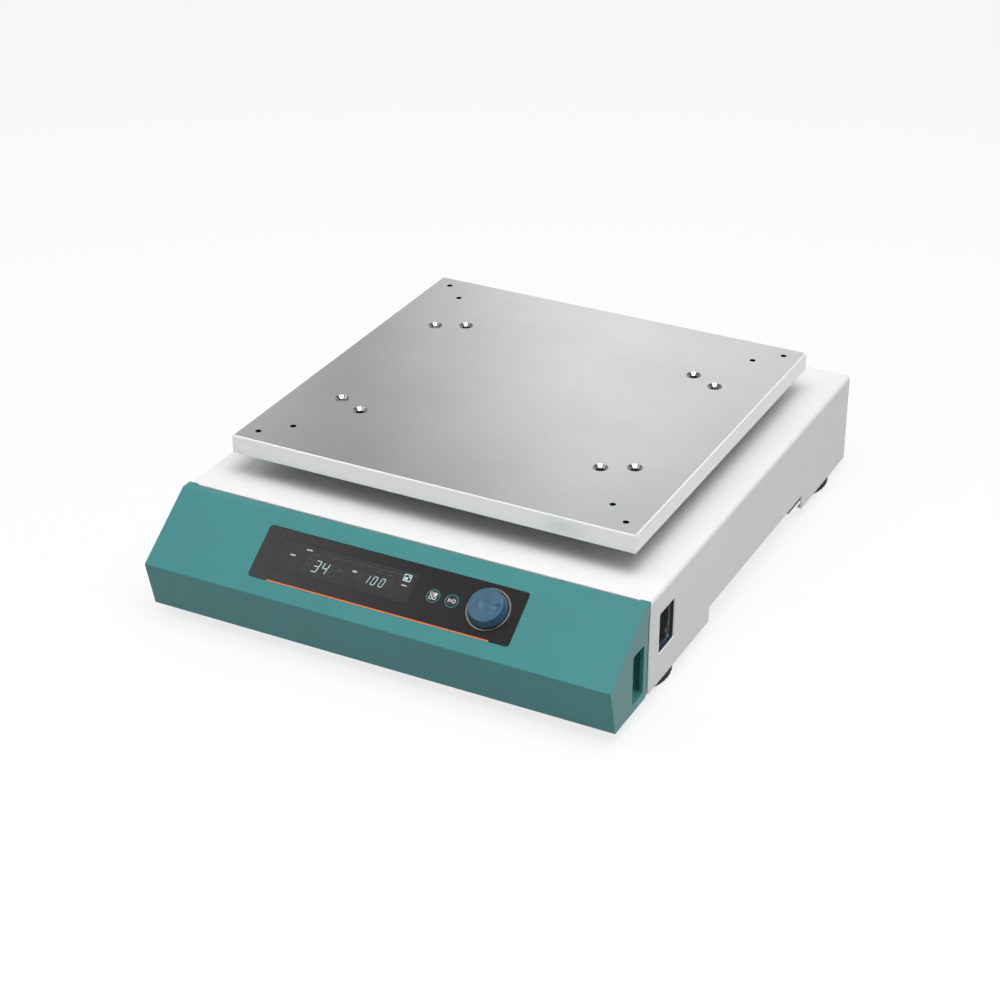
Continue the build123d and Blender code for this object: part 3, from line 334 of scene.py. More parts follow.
def platform_masks(nodes, links):
    """Masks of 0 or 1: facing by the normal's Z, reach by the larger of the distances along X and Y."""
    place = nodes.new("ShaderNodeTexCoord")
    facing = nodes.new("ShaderNodeSeparateXYZ")
    links.new(place.outputs["Normal"], facing.inputs[0])
    spot = nodes.new("ShaderNodeSeparateXYZ")
    links.new(place.outputs["Object"], spot.inputs[0])
    not_top = reckon(nodes, links, "LESS_THAN", facing.outputs["Z"], TOP_FACING)
    upright = reckon(nodes, links, "ABSOLUTE", facing.outputs["Z"])
    upright = reckon(nodes, links, "LESS_THAN", upright, WALL_FACING)
    from_middle = reckon(nodes, links, "SUBTRACT", spot.outputs["Y"], float(platform_middle[1]))
    from_middle = reckon(nodes, links, "ABSOLUTE", from_middle)
    reach = reckon(nodes, links, "ABSOLUTE", spot.outputs["X"])
    reach = reckon(nodes, links, "MAXIMUM", reach, from_middle)
    flange_from = float(platform_half - FLANGE_BAND * MM)
    inside = reckon(nodes, links, "LESS_THAN", reach, flange_from)
    outside = reckon(nodes, links, "GREATER_THAN", reach, flange_from)
    flange = reckon(nodes, links, "MULTIPLY", not_top, outside)
    cone = reckon(nodes, links, "MULTIPLY", not_top, inside)
    hole = reckon(nodes, links, "MULTIPLY", upright, inside)
    return not_top, flange, cone, hole


print("platform half width in mm", round(float(platform_half) / MM, 2))

# %% [markdown]
# ## The platform's metal
# The sheet is satin aluminium. Its top mirrors the studio softly, and that alone gives its even
# grey, so its own colour stays pale. The flanges lose most of their mirror and take a near white
# colour, a painted reflection of the bright floor. The cones and the underside get painted shade in
# grey, and the holes painted shade in a dark blue green.

# %% Satin top, painted reflection on the flanges, painted shade on cones and in holes
# Share by which the flanges turn from mirror to the near white colour of their painted reflection.
FLANGE_PAINT_SHARE = 0.9


def platform_metal(material, flange_painted_reflection, cone_painted_shade, hole_painted_shade):
    """Lays painted reflection on the flanges and painted shade on cones, underside and holes, and takes the
    mirror off the flanges.
    """
    nodes, links, shader = tree_of(material)
    not_top, flange, cone, hole = platform_masks(nodes, links)
    color = shader.inputs["Base Color"].links[0].from_socket
    for mask, other in ((not_top, flange_painted_reflection), (cone, cone_painted_shade), (hole, hole_painted_shade)):
        color = blend(nodes, links, mask, color, other)
    links.new(color, shader.inputs["Base Color"])
    # The flanges lose their metal, so that their painted reflection shows as plain colour.
    dull = reckon(nodes, links, "MULTIPLY", flange, FLANGE_PAINT_SHARE)
    links.new(reckon(nodes, links, "SUBTRACT", 1.0, dull), shader.inputs["Metallic"])


satin_aluminium_painted_light = finish_of("satin_aluminium_painted_light", linear(238, 239, 240), roughness=0.16, metallic=1.0)
grain(satin_aluminium_painted_light, size_mm=0.25, height_mm=0.004, strength=0.3, edge_mm=0)
mottle(satin_aluminium_painted_light, linear(232, 233, 234), size_mm=90)
polish(satin_aluminium_painted_light, size_mm=3, low=0.13, high=0.19)
# Colours: near white painted reflection on the flanges, grey painted shade on the cones and the underside,
# and dark painted shade in the holes.
platform_metal(satin_aluminium_painted_light, linear(252, 253, 253), linear(168, 170, 172), linear(12, 40, 42))
print("platform finish", satin_aluminium_painted_light.name, "nodes", len(satin_aluminium_painted_light.node_tree.nodes))

# %% [markdown]
# ## The other metals
# Zinc coated steel has flakes of crystal, each with a grey of its own, and a Voronoi pattern draws
# them as cells. Turned steel shows a fine drawn out grain, ground bearing steel hardly any, and
# cast alloy a coarse one.


# %% Zinc coated sheet, turned, ground and cast metal
def flakes(material, size_mm, dark, light):
    """Crystal flakes of a zinc coat: each Voronoi cell takes its own grey."""
    nodes, links, shader = tree_of(material)
    place = nodes.new("ShaderNodeTexCoord")
    cells = nodes.new("ShaderNodeTexVoronoi")
    cells.inputs["Scale"].default_value = 1.0 / (size_mm * MM)
    ramp = nodes.new("ShaderNodeValToRGB")
    ramp.color_ramp.elements[0].color = dark
    ramp.color_ramp.elements[1].color = light
    links.new(place.outputs["Object"], cells.inputs["Vector"])
    links.new(cells.outputs["Color"], ramp.inputs["Fac"])
    links.new(ramp.outputs["Color"], shader.inputs["Base Color"])


zinc_sheet = finish_of("zinc_coated_sheet", linear(170, 171, 172), roughness=0.4, metallic=0.9)
grain(zinc_sheet, size_mm=0.8, height_mm=0.01, strength=0.4)
flakes(zinc_sheet, size_mm=6, dark=linear(150, 151, 153), light=linear(182, 183, 184))
turned_steel = finish_of("turned_steel", linear(190, 191, 193), roughness=0.28, metallic=1.0)
grain(turned_steel, size_mm=0.3, height_mm=0.004, strength=0.5, squeeze=(1, 1, 6))
mottle(turned_steel, linear(168, 169, 172), size_mm=5)
ground_steel = finish_of("ground_bearing_steel", linear(205, 206, 208), roughness=0.15, metallic=1.0)
polish(ground_steel, size_mm=1, low=0.1, high=0.2)
cast_alloy = finish_of("cast_alloy", linear(165, 166, 168), roughness=0.55, metallic=1.0)
grain(cast_alloy, size_mm=0.9, height_mm=0.05, strength=0.7)
mottle(cast_alloy, linear(148, 149, 152), size_mm=12)
post_alloy = finish_of("post_alloy", linear(112, 114, 116), roughness=0.5, metallic=1.0)
grain(post_alloy, size_mm=0.4, height_mm=0.01, strength=0.5)
mottle(post_alloy, linear(96, 98, 100), size_mm=4)
plated_brass = finish_of("plated_brass", linear(205, 176, 105), roughness=0.3, metallic=1.0)
grain(plated_brass, size_mm=0.3, height_mm=0.004, strength=0.4)
bright_trim = finish_of("bright_knob_ring", linear(150, 145, 141), roughness=0.25, metallic=1.0)
polish(bright_trim, size_mm=0.8, low=0.2, high=0.32)
print("finishes so far", len(bpy.data.materials))

# %% [markdown]
# ## Film, display and plastics
# The control film is a dark brown black with a low sheen. The display pane is a little lighter, and
# the field behind it lighter again. The knob is a grey blue moulding, wiped by many fingers.

# %% Film, display, knob and plastics
control_film = finish_of("control_film", linear(33, 31, 31), roughness=0.22, Specular_IOR_Level=LOW_GLOSS)
grain(control_film, size_mm=0.4, height_mm=0.003, strength=0.3)
mottle(control_film, linear(36, 34, 34), size_mm=40)
display_pane = finish_of("display_pane", linear(42, 43, 42), roughness=0.28, Specular_IOR_Level=LOW_GLOSS)
polish(display_pane, size_mm=20, low=0.24, high=0.32)
display_field = finish_of("display_field", linear(47, 45, 45), roughness=0.3, Specular_IOR_Level=LOW_GLOSS)
polish(display_field, size_mm=15, low=0.26, high=0.34)
orange_line = finish_of("orange_line", linear(238, 122, 62), roughness=0.4)
polish(orange_line, size_mm=5, low=0.36, high=0.46)
black_plastic = finish_of("black_plastic", linear(34, 34, 36), roughness=0.45)
grain(black_plastic, size_mm=0.4, height_mm=0.015, strength=0.5)
button_black = finish_of("button_black", linear(40, 39, 40), roughness=0.3)
grain(button_black, size_mm=0.3, height_mm=0.004, strength=0.3)
knob_blue = finish_of("blue_grey_knob", linear(60, 100, 126), roughness=0.36, Specular_IOR_Level=0.4)
grain(knob_blue, size_mm=0.3, height_mm=0.006, strength=0.3, edge_mm=0)
mottle(knob_blue, linear(56, 95, 120), size_mm=6)
print("finishes so far", len(bpy.data.materials))

# %% [markdown]
# ## Circuit boards, rubber and the supply's cage
# Circuit boards get a green mask with fine paths, drawn by a brick pattern whose mortar is the
# paler copper under the mask. Feet and belt are dull rubber. The cage of the power supply is zinc
# coated like the tray, with finer flakes.

# %% Boards, rubber and the supply's cage
BOARD_CELL = 14
PATH_WIDTH = 0.02
PATH_LENGTH = 0.9
PATH_PITCH = 0.17


def board_paths(material, base, path):
    """Long narrow bricks: the mortar between them stands for the copper paths under the mask."""
    nodes, links, shader = tree_of(material)
    place = nodes.new("ShaderNodeTexCoord")
    bricks = nodes.new("ShaderNodeTexBrick")
    bricks.inputs["Color1"].default_value = base
    bricks.inputs["Color2"].default_value = base
    bricks.inputs["Mortar"].default_value = path
    bricks.inputs["Scale"].default_value = 1.0 / (BOARD_CELL * MM)
    bricks.inputs["Mortar Size"].default_value = PATH_WIDTH
    bricks.inputs["Brick Width"].default_value = PATH_LENGTH
    bricks.inputs["Row Height"].default_value = PATH_PITCH
    links.new(place.outputs["Object"], bricks.inputs["Vector"])
    links.new(bricks.outputs["Color"], shader.inputs["Base Color"])


board_mask = finish_of("board_mask", linear(30, 120, 60), roughness=0.35)
board_paths(board_mask, linear(28, 118, 56), linear(70, 160, 90))
foot_rubber = finish_of("foot_rubber", linear(46, 46, 47), roughness=0.75)
grain(foot_rubber, size_mm=0.5, height_mm=0.05, strength=0.7)
mottle(foot_rubber, linear(56, 56, 57), size_mm=10)
belt_rubber = finish_of("belt_rubber", linear(38, 38, 38), roughness=0.7)
grain(belt_rubber, size_mm=0.6, height_mm=0.05, strength=0.7)
supply_steel = finish_of("supply_cage_steel", linear(176, 177, 178), roughness=0.42, metallic=0.9)
flakes(supply_steel, size_mm=5, dark=linear(160, 161, 162), light=linear(186, 187, 188))
print("finishes so far", len(bpy.data.materials))

# %% [markdown]
# ## Which piece has which finish
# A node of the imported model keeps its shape, and only its material slots are filled. The list
# below goes through the machine from outside to inside. What it doesn't name is a foot, or a steel
# part such as a screw, a shaft or a crank.

# %% Give every node its finish
node_finish = {
    "top_cover": white_coat,
    "rear_panel": white_coat,
    "front_cover": green_moulding,
    "side_liner_left": navy_sheet,
    "side_liner_right": navy_sheet,
    "base_pan": zinc_sheet,
    "platform": satin_aluminium_painted_light,
    "platform_posts": post_alloy,
    "panel_overlay": control_film,
    "accent_strip": orange_line,
    "display_glass": display_pane,
    "display_module": black_plastic,
    "display_board": board_mask,
    "control_board": board_mask,
    "control_knob": knob_blue,
    "knob_ring": bright_trim,
    "menu_button": button_black,
    "start_button": button_black,
    "button_switches": black_plastic,
    "encoder_body": black_plastic,
    "encoder_rotor": plated_brass,
    "encoder_shaft": turned_steel,
    "board_standoffs": plated_brass,
    "power_supply": supply_steel,
    "drive_plate": zinc_sheet,
    "motor_mount": zinc_sheet,
    "motor_body": cast_alloy,
    "motor_shaft": turned_steel,
    "motor_wheel": cast_alloy,
    "drive_belt": belt_rubber,
    "drive_wheel": cast_alloy,
    "main_bearing_housing": cast_alloy,
    "idler_bearing_housings": cast_alloy,
    "fixed_outer_rings": ground_steel,
    "main_inner_rings": ground_steel,
    "carriage_outer_rings": ground_steel,
    "carriage": cast_alloy,
    "mains_inlet": black_plastic,
    "switch_frame": black_plastic,
    "power_rocker": black_plastic,
    "inlet_pins": plated_brass,
}
for node_name, node in frame["nodes"].items():
    chosen = node_finish.get(node_name, foot_rubber if node_name.startswith("foot_") else turned_steel)
    node.data.materials.clear()
    node.data.materials.append(chosen)
print("nodes finished", len(frame["nodes"]))

# %% [markdown]
# ## The knob
# The knob is one smooth moulding: a skirt that leans in a little, a rounded shoulder, a shallow
# dish in the middle and a small dimple for a fingertip near the rim. A solid made of flat facets
# would show them here, so the knob is a turned grid. The dishes are added as a height formula.

# %% Profile of the knob
KNOB_LOW = 0.6
KNOB_TOP = 8.7
KNOB_BASE_RADIUS = 15.6
KNOB_TOP_RADIUS = 13.6
KNOB_SHOULDER = 1.0
KNOB_RIM = 0.3
KNOB_FIRST_RING = 3.0
KNOB_LAST_RING = 0.3
UNDER_STEPS = 8
WALL_STEPS = 10
SHOULDER_STEPS = 8
FLAT_STEPS = 43


def knob_profile():
    """Radius and height from the middle of the underside, round the skirt and shoulder, to the top."""
    under = np.linspace(KNOB_FIRST_RING, KNOB_BASE_RADIUS - KNOB_RIM, UNDER_STEPS)
    under = np.stack([under, np.full(UNDER_STEPS, KNOB_LOW)], -1)
    wall_top = KNOB_TOP - KNOB_SHOULDER
    lean = (KNOB_BASE_RADIUS - KNOB_TOP_RADIUS) / (KNOB_TOP - KNOB_LOW)
    heights = np.linspace(KNOB_LOW + KNOB_RIM, wall_top, WALL_STEPS)
    wall = np.stack([KNOB_BASE_RADIUS - lean * (heights - KNOB_LOW), heights], -1)
    angle = np.linspace(0, math.pi / 2, SHOULDER_STEPS + 1)[1:]
    centre = wall[-1, 0] - KNOB_SHOULDER
    shoulder = np.stack([centre + KNOB_SHOULDER * np.cos(angle),
                         wall_top + KNOB_SHOULDER * np.sin(angle)], -1)
    flat = np.linspace(centre, KNOB_LAST_RING, FLAT_STEPS + 1)[1:]
    flat = np.stack([flat, np.full(FLAT_STEPS, KNOB_TOP)], -1)
    return np.concatenate([under, wall, shoulder, flat])


print("points of the knob's profile", len(knob_profile()))

# %% [markdown]
# ## The knob's two dishes
# The dish and the dimple are pressed into the flat top: each lowers a point by a bowl's height,
# which depends on the point's distance from the bowl's middle. A cut with two balls would do it
# too, but it leaves long thin faces that shade badly.

# %% Turn the knob and press its dishes
DISH_RADIUS = 5.1
DISH_DEPTH = 0.6
DIMPLE_RADIUS = 3.4
DIMPLE_DEPTH = 1.3
DIMPLE_ACROSS = 9.3
TOP_TOLERANCE = 0.01


def hollow(distance, radius, depth):
    """Round dish with a clear rim: depth times one minus the squared share of its radius."""
    share = np.clip(distance / radius, 0, 1)
    return depth * (1 - share**2)


def knob_points(columns=128):
    """Turns the profile, then lowers the top by the middle dish and the finger dimple."""
    profile = knob_profile()
    angle = np.linspace(0, 2 * math.pi, columns, endpoint=False)
    radius = np.broadcast_to(profile[:, :1], (len(profile), columns))
    height = np.broadcast_to(profile[:, 1:], (len(profile), columns))
    u, v = radius * np.cos(angle), radius * np.sin(angle)
    top = height > KNOB_TOP - TOP_TOLERANCE
    drop = hollow(radius, DISH_RADIUS, DISH_DEPTH)
    drop = drop + hollow(np.hypot(u - DIMPLE_ACROSS, v), DIMPLE_RADIUS, DIMPLE_DEPTH)
    ring = on_face(KNOB_ACROSS + u, KNOB_UP + v, height - np.where(top, drop, 0)).reshape(-1, 3)
    poles = on_face([KNOB_ACROSS] * 2, KNOB_UP, [KNOB_LOW, KNOB_TOP - DISH_DEPTH])
    return np.concatenate([ring, poles]), turned_faces(len(profile), columns)


knob_mesh = knob_points()
knob = add_piece("finger_knob", *knob_mesh, True, knob_blue, "knob", "knob_blue_grey")
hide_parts("control_knob")
print("knob points", len(knob_mesh[0]))

# %% [markdown]
# ## Figures of the display
# The display shows slanted figures of seven bars. Each bar is a thin six sided plate, leaned over
# by the same slant as the whole figure. Seven letters, from a at the top to g in the middle, name
# the bars, and a table says which of them each figure lights.

# %% Shape one figure
SLANT = 0.22
BAR_GAP = 0.16
FIGURE_BARS = {"0": "abcdef", "1": "bc", "3": "abcdg", "4": "bcfg", "8": "abcdefg"}
LARGE = dict(wide=4.3, tall=9.4, width=0.66)
SMALL = dict(wide=3.1, tall=6.9, width=0.56)


def bar(start, end, width):
    """Six sided bar between two points: two sharp ends, and sides half a width to either hand."""
    start, end = np.array(start, float), np.array(end, float)
    along = (end - start) / np.linalg.norm(end - start)
    side = np.array([-along[1], along[0]]) * width / 2
    tip = along * width / 2
    return np.array([start, start + tip - side, end - tip - side, end, end - tip + side, start + tip + side])


def figure(sign, left, base, wide, tall, width):
    """Bars of one figure, each leaned by u = u + SLANT times the height above the base."""
    gap = width * BAR_GAP
    low, mid, top = 0.0, tall / 2, tall
    ends = {
        "a": ((gap, top), (wide - gap, top)),
        "b": ((wide, top - gap), (wide, mid + gap)),
        "c": ((wide, mid - gap), (wide, low + gap)),
        "d": ((gap, low), (wide - gap, low)),
        "e": ((0, low + gap), (0, mid - gap)),
        "f": ((0, mid + gap), (0, top - gap)),
        "g": ((gap, mid), (wide - gap, mid)),
    }
    bars = [bar(*ends[name], width) for name in FIGURE_BARS[sign]]
    return [np.stack([left + b[:, 0] + SLANT * b[:, 1], base + b[:, 1]], -1) for b in bars]


print("bars of an 8:", len(figure("8", 0, 0, **LARGE)))

# %% [markdown]
# ## Lit and unlit bars
# Lit bars give off a little light of their own, less than a lamp would, so that they keep their
# pale blue green. Bars that are off still show faintly, as on the real display: they are only a
# shade lighter than the field round them.

# %% Finishes of the bars
CLOUD_SHADE = 0.93


def glow(name, color, strength):
    """A finish that gives off a little light of its own, with slightly darker clouds."""
    material = finish_of(name, color, roughness=0.4)
    shader = material.node_tree.nodes["Principled BSDF"]
    shader.inputs["Emission Color"].default_value = color
    shader.inputs["Emission Strength"].default_value = strength
    mottle(material, tuple(CLOUD_SHADE * c for c in color[:3]) + (1.0,), size_mm=2)
    return material


lit = glow("display_lit", linear(176, 205, 206), strength=0.35)
lit_small = glow("display_lit_small", linear(160, 184, 184), strength=0.25)
unlit = finish_of("display_unlit", linear(62, 60, 60), roughness=0.4)
mottle(unlit, linear(58, 56, 56), size_mm=3)
unlit_red = finish_of("display_unlit_red", linear(74, 54, 55), roughness=0.4)
mottle(unlit_red, linear(69, 52, 53), size_mm=3)
print("bar finishes", lit.name, lit_small.name, unlit.name, unlit_red.name)

# %% [markdown]
# ## Both numbers
# The left number stands on a lower base line and has larger figures than the right one. Each has
# room for more figures, whose bars are off.

# %% Lay the numbers on the pane
PANE_TOP = -0.4
SIGN_LIFT = 0.02
UNLIT_LIFT = SIGN_LIFT - 0.01
SIGN_THICKNESS = 0.04
LEFT_BASE = -5.6
RIGHT_BASE = -3.5


def number(figures, base, form):
    """Bars of several figures on one base line, each given by its sign and its left edge."""
    return [one for sign, left in figures for one in figure(sign, left, base, **form)]


def lay_sign(name, outlines, material, lift=SIGN_LIFT):
    """Thin plates on the display pane."""
    low = PANE_TOP + lift
    plates = prism(outlines, low, low + SIGN_THICKNESS)
    add_piece(name, *plates, False, material, "chassis", "display_body")


left_number = number([("3", -64.0), ("4", -56.6)], LEFT_BASE, LARGE)
right_number = number([("1", -19.2), ("0", -12.8), ("0", -6.2)], RIGHT_BASE, SMALL)
off_bars = number([("8", -71.4), ("8", -49.2)], LEFT_BASE, LARGE)
off_bars += number([("8", -25.8), ("8", 0.6)], RIGHT_BASE, SMALL)
lay_sign("figures_left", left_number, lit)
lay_sign("figures_right", right_number, lit)
lay_sign("bars_off", off_bars, unlit, UNLIT_LIFT)
print("bars", len(left_number + right_number), "off", len(off_bars))

# %% [markdown]
# ## Small marks of the display
# Round the figures lie small lamps and fields. Each is a plain short bar with rounded corners, at
# the place and in the colour of the real mark. A frame is a ring of small plates between two such
# outlines, because a plate here can't have a hole.


# %% Outlines of marks and frames
def rounded(centre_u, centre_v, wide, tall, corner, steps=5):
    """Ring of a rectangle whose corners are quarter circles."""
    angle = np.linspace(0, math.pi / 2, steps)
    rings = []
    for turn, (side_u, side_v) in enumerate(((1, 1), (-1, 1), (-1, -1), (1, -1))):
        a = angle + turn * math.pi / 2
        middle = np.array([centre_u + side_u * (wide / 2 - corner), centre_v + side_v * (tall / 2 - corner)])
        rings.append(middle + corner * np.stack([np.cos(a), np.sin(a)], -1))
    return np.concatenate(rings)


def framed(outer, inner):
    """Four sided bands between two rings of equal count, as many small plates."""
    after = np.roll(np.arange(len(outer)), -1)
    return [np.array([inner[i], outer[i], outer[j], inner[j]]) for i, j in enumerate(after)]


print("points of a rounded outline", len(rounded(0, 0, 2, 1, 0.2)))

# %% [markdown]
# ## Places of the marks
# First comes the field behind everything, then the lit marks and the picture in its frame, then
# the rows that are off. Every mark is given by its centre across and up the face, its width, its
# height and its corner's radius, in millimetres.

# %% Lay the field and the marks
MARK_PITCH = 9.2
MARK_TALL = 0.8
MARK_CORNER = 0.2
lay_sign("display_field", [rounded(-37.2, 1.7, 112.0, 20.6, 0.6)], display_field, 0.0)
marks_lit = [rounded(-71.8, 10.4, 5.4, 1.1, 0.3), rounded(-28.8, 3.2, 3.8, 1.4, 0.3),
             rounded(-83.6, 3.2, 4.6, 1.2, 0.3), rounded(14.0, 2.8, 4.6, 1.0, 0.3)]
lay_sign("marks_lit", marks_lit, lit_small)
picture = framed(rounded(14.2, 9.3, 6.4, 6.0, 0.8), rounded(14.2, 9.3, 5.0, 4.6, 0.5))
picture += [rounded(13.4, 8.6, 2.4, 2.2, 0.4), rounded(15.6, 10.4, 1.4, 1.2, 0.3)]
lay_sign("picture_mark", picture, lit)
rows_off = [rounded(-55.0 + MARK_PITCH * i, 10.4 - 0.35 * (i % 2), 6.4, MARK_TALL, MARK_CORNER)
            for i in range(8)]
rows_off += [rounded(-50.0 + MARK_PITCH * i, 8.6, 5.0, MARK_TALL, MARK_CORNER) for i in range(3)]
rows_off += [rounded(-37.4, -1.0, 0.5, 8.4, 0.2), rounded(-41.0, 0.6, 3.0, 3.4, 0.6)]
lay_sign("rows_off", rows_off, unlit)
rows_red = [rounded(u, v, wide, MARK_TALL, MARK_CORNER)
            for u, v, wide in ((-63.8, 8.0, 5.6), (-8.0, 7.6, 6.0), (0.6, 7.4, 5.0))]
lay_sign("rows_off_red", rows_red, unlit_red)
print("marks", len(marks_lit) + len(rows_off) + len(rows_red))

# %% [markdown]
# ## Signs on the two buttons
# One button shows four small cells with one of them filled, the other a triangle and a square.
# They are printed, so they lie as thin plates on the button and press in with it.

# %% Print the cells of the left button
MENU_ACROSS = 39.9
BUTTON_UP = 0.7
BUTTON_TOP = 0.1
PRINT_LOW = BUTTON_TOP + 0.01
PRINT_HIGH = BUTTON_TOP + 0.04
CELL_PITCH = 1.6
CELL_SIZE = 2.8
CELL_HOLE = CELL_SIZE - 1.1
sign_print = finish_of("sign_print", linear(225, 220, 219), roughness=0.45)
mottle(sign_print, linear(214, 209, 209), size_mm=1)


def print_sign(name, outlines, body):
    """Thin printed plates just above a button's cap."""
    plates = prism(outlines, PRINT_LOW, PRINT_HIGH)
    add_piece(name, *plates, False, sign_print, body, "part_black")


def square(centre, size, corner):
    """Ring of a square with rounded corners."""
    return rounded(*centre, size, size, corner)


cells = []
for step_u, step_v in ((-1, -1), (1, -1), (-1, 1)):
    centre = (MENU_ACROSS + CELL_PITCH * step_u, BUTTON_UP + CELL_PITCH * step_v)
    cells += framed(square(centre, CELL_SIZE, 0.9), square(centre, CELL_HOLE, 0.4))
cells.append(square((MENU_ACROSS + CELL_PITCH, BUTTON_UP + CELL_PITCH), CELL_SIZE, 1.1))
print_sign("menu_sign", cells, "menu_button")
print("plates of the cells", len(cells))

# %% [markdown]
# ## Triangle and square
# The second button starts and stops the platform. Its two signs are outlines, so each is a frame
# between a larger and a smaller ring round one centre.

# %% Print the signs of the right button
START_ACROSS = 55.5
TRIANGLE_ACROSS = START_ACROSS - 1.9
SQUARE_ACROSS = START_ACROSS + 1.7


def triangle(size):
    """Ring of a triangle that points along +u, size from its centre to each corner."""
    angle = np.array([0, 2 * math.pi / 3, 4 * math.pi / 3])
    return np.stack([TRIANGLE_ACROSS + size * np.cos(angle), BUTTON_UP + size * np.sin(angle)], -1)


square_centre = (SQUARE_ACROSS, BUTTON_UP)
start_signs = framed(triangle(1.9), triangle(0.9))
start_signs += framed(square(square_centre, 2.9, 0.5), square(square_centre, 1.8, 0.3))
print_sign("start_sign", start_signs, "start_button")
print("plates of triangle and square", len(start_signs))

# %% [markdown]
# ## Feet
# Each foot is a wide rubber disc with fine ribs round its rim, for a grip when it is screwed up or
# down. The ribs are a wave in the radius, and the disc is a profile carried round a circle. The
# rim stands 3 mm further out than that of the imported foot, so that as much of it shows under the
# housing as on the real machine.

# %% Model the four feet
FOOT_RADIUS = 39.0
FOOT_HOLE = 6.0
FOOT_NECK = 20.0
FOOT_DISC_TALL = 13.0
FOOT_TALL = 24.4
RIB_COUNT = 48
RIB_DEPTH = 0.9
POINTS_PER_RIB = 6
# Each row is a radius, a height, and 1 where the ribs run.
FOOT_PROFILE = np.array([
    (FOOT_HOLE, 0.0, 0), (FOOT_RADIUS - 4.0, 0.0, 0), (FOOT_RADIUS - 1.6, 1.0, 0), (FOOT_RADIUS, 2.6, 1),
    (FOOT_RADIUS, 11.4, 1), (FOOT_RADIUS - 0.6, 12.5, 1), (FOOT_RADIUS - 1.8, FOOT_DISC_TALL, 0),
    (FOOT_NECK, FOOT_DISC_TALL, 0), (FOOT_NECK, FOOT_TALL, 0), (FOOT_HOLE, FOOT_TALL, 0)])


def closed_rings(points, rows, columns):
    """Quads between rows that run round, the last row joined to the first."""
    row, column = np.meshgrid(np.arange(rows), np.arange(columns), indexing="ij")
    next_row, next_column = (row + 1) % rows, (column + 1) % columns
    quads = np.stack([row * columns + column, row * columns + next_column,
                      next_row * columns + next_column, next_row * columns + column], -1)
    return points.reshape(-1, 3), quads.reshape(-1, 4).tolist()


def foot_points(centre_x, centre_y, columns=POINTS_PER_RIB * RIB_COUNT):
    """Radius less half the rib's depth times one minus the cosine of 48 turns, on the rim's rows only."""
    angle = np.linspace(0, 2 * math.pi, columns, endpoint=False)
    radius, height, ribbed = (FOOT_PROFILE[:, i:i + 1] for i in range(3))
    radius = radius - ribbed * RIB_DEPTH / 2 * (1 - np.cos(RIB_COUNT * angle))
    x, y = centre_x + MM * radius * np.cos(angle), centre_y + MM * radius * np.sin(angle)
    points = np.stack([x, y, np.broadcast_to(MM * height, x.shape)], -1)
    return closed_rings(points, len(FOOT_PROFILE), columns)


for end in ("front_left", "front_right", "rear_left", "rear_right"):
    low, high = (np.array(corner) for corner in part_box("foot_" + end))
    middle = (low + high) / 2
    ribbed_foot = add_piece("ribbed_foot_" + end, *foot_points(middle[0], middle[1]), False,
                            foot_rubber, "chassis", "black_rubber")
    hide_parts("foot_" + end)
print("foot faces", len(ribbed_foot.data.polygons))

# %% [markdown]
# ## Pockets behind the end slots
# The slot in each end of the front moulding is blind: behind it lies a shallow pocket of the same
# green plastic. Its wall follows the slot's rounded outline inwards, and its floor closes it. It is
# made as one closed shell, inside and outside, because a bare sheet would have no thickness.

# %% Model the two slot pockets
SLOT_FROM_REAR = 16.2
SLOT_FROM_BOTTOM = 28.0
SLOT_LENGTH = 19.0
SLOT_HEIGHT = 42.0
SLOT_CORNER = 1.8
END_WALL = 2.5
POCKET_GAP = 0.15
POCKET_DEPTH = 7.0
POCKET_WALL = 1.2
front_low, front_high = (np.array(corner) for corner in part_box("front_cover"))


def pocket_points(side):
    """Rings of a rounded outline: floor, mouth, outer mouth and outer floor, with a pole in each floor."""
    mouth = front_high[0] - END_WALL * MM
    outer_floor = POCKET_DEPTH + POCKET_WALL
    rings = []
    for grow, depth in ((POCKET_GAP, POCKET_DEPTH), (POCKET_GAP, 0.0),
                        (POCKET_WALL, 0.0), (POCKET_WALL, outer_floor)):
        outline = MM * rounded(0, 0, SLOT_LENGTH + 2 * grow, SLOT_HEIGHT + 2 * grow, SLOT_CORNER + grow)
        y = front_high[1] - SLOT_FROM_REAR * MM + outline[:, 0]
        z = front_low[2] + SLOT_FROM_BOTTOM * MM + outline[:, 1]
        rings.append(np.stack([np.full(len(outline), side * (mouth - depth * MM)), y, z], -1))
    poles = [rings[0].mean(0), rings[-1].mean(0)]
    return np.concatenate(rings + [poles]), turned_faces(len(rings), len(rings[0]))


def face_outwards(piece):
    """Works the faces' directions out anew, because a mirrored side turns them inwards."""
    shell = bmesh.new()
    shell.from_mesh(piece.data)
    bmesh.ops.recalc_face_normals(shell, faces=shell.faces)
    shell.to_mesh(piece.data)
    shell.free()


for side, name in ((-1, "left"), (1, "right")):
    pocket = add_piece("slot_pocket_" + name, *pocket_points(side), False,
                       green_moulding, "chassis", "teal_moulding")
    face_outwards(pocket)
print("pocket points", len(pocket.data.vertices))

# %% [markdown]
# ## Studio floor
# A plain white floor carries a soft shadow. To the camera and in mirrors it is partly paper, which
# takes the shadow, and partly plain white. To all other light it is grey, so that it lights the
# machine from below only a little. The Light Path node tells the rays apart.

# %% Lay the floor
FLOOR_HALF = 8.0
FLOOR_BOUNCE = 0.38
FLOOR_PAPER = 0.93
FLOOR_SHADOW = 0.22
FLOOR_ROUGHNESS = 0.9


def mixed_by(nodes, links, factor, first, second):
    """Mix of two shaders: first where the factor is 0, second where it is 1."""
    mixed = nodes.new("ShaderNodeMixShader")
    feed(links, mixed.inputs["Fac"], factor)
    links.new(first, mixed.inputs[1])
    links.new(second, mixed.inputs[2])
    return mixed.outputs[0]


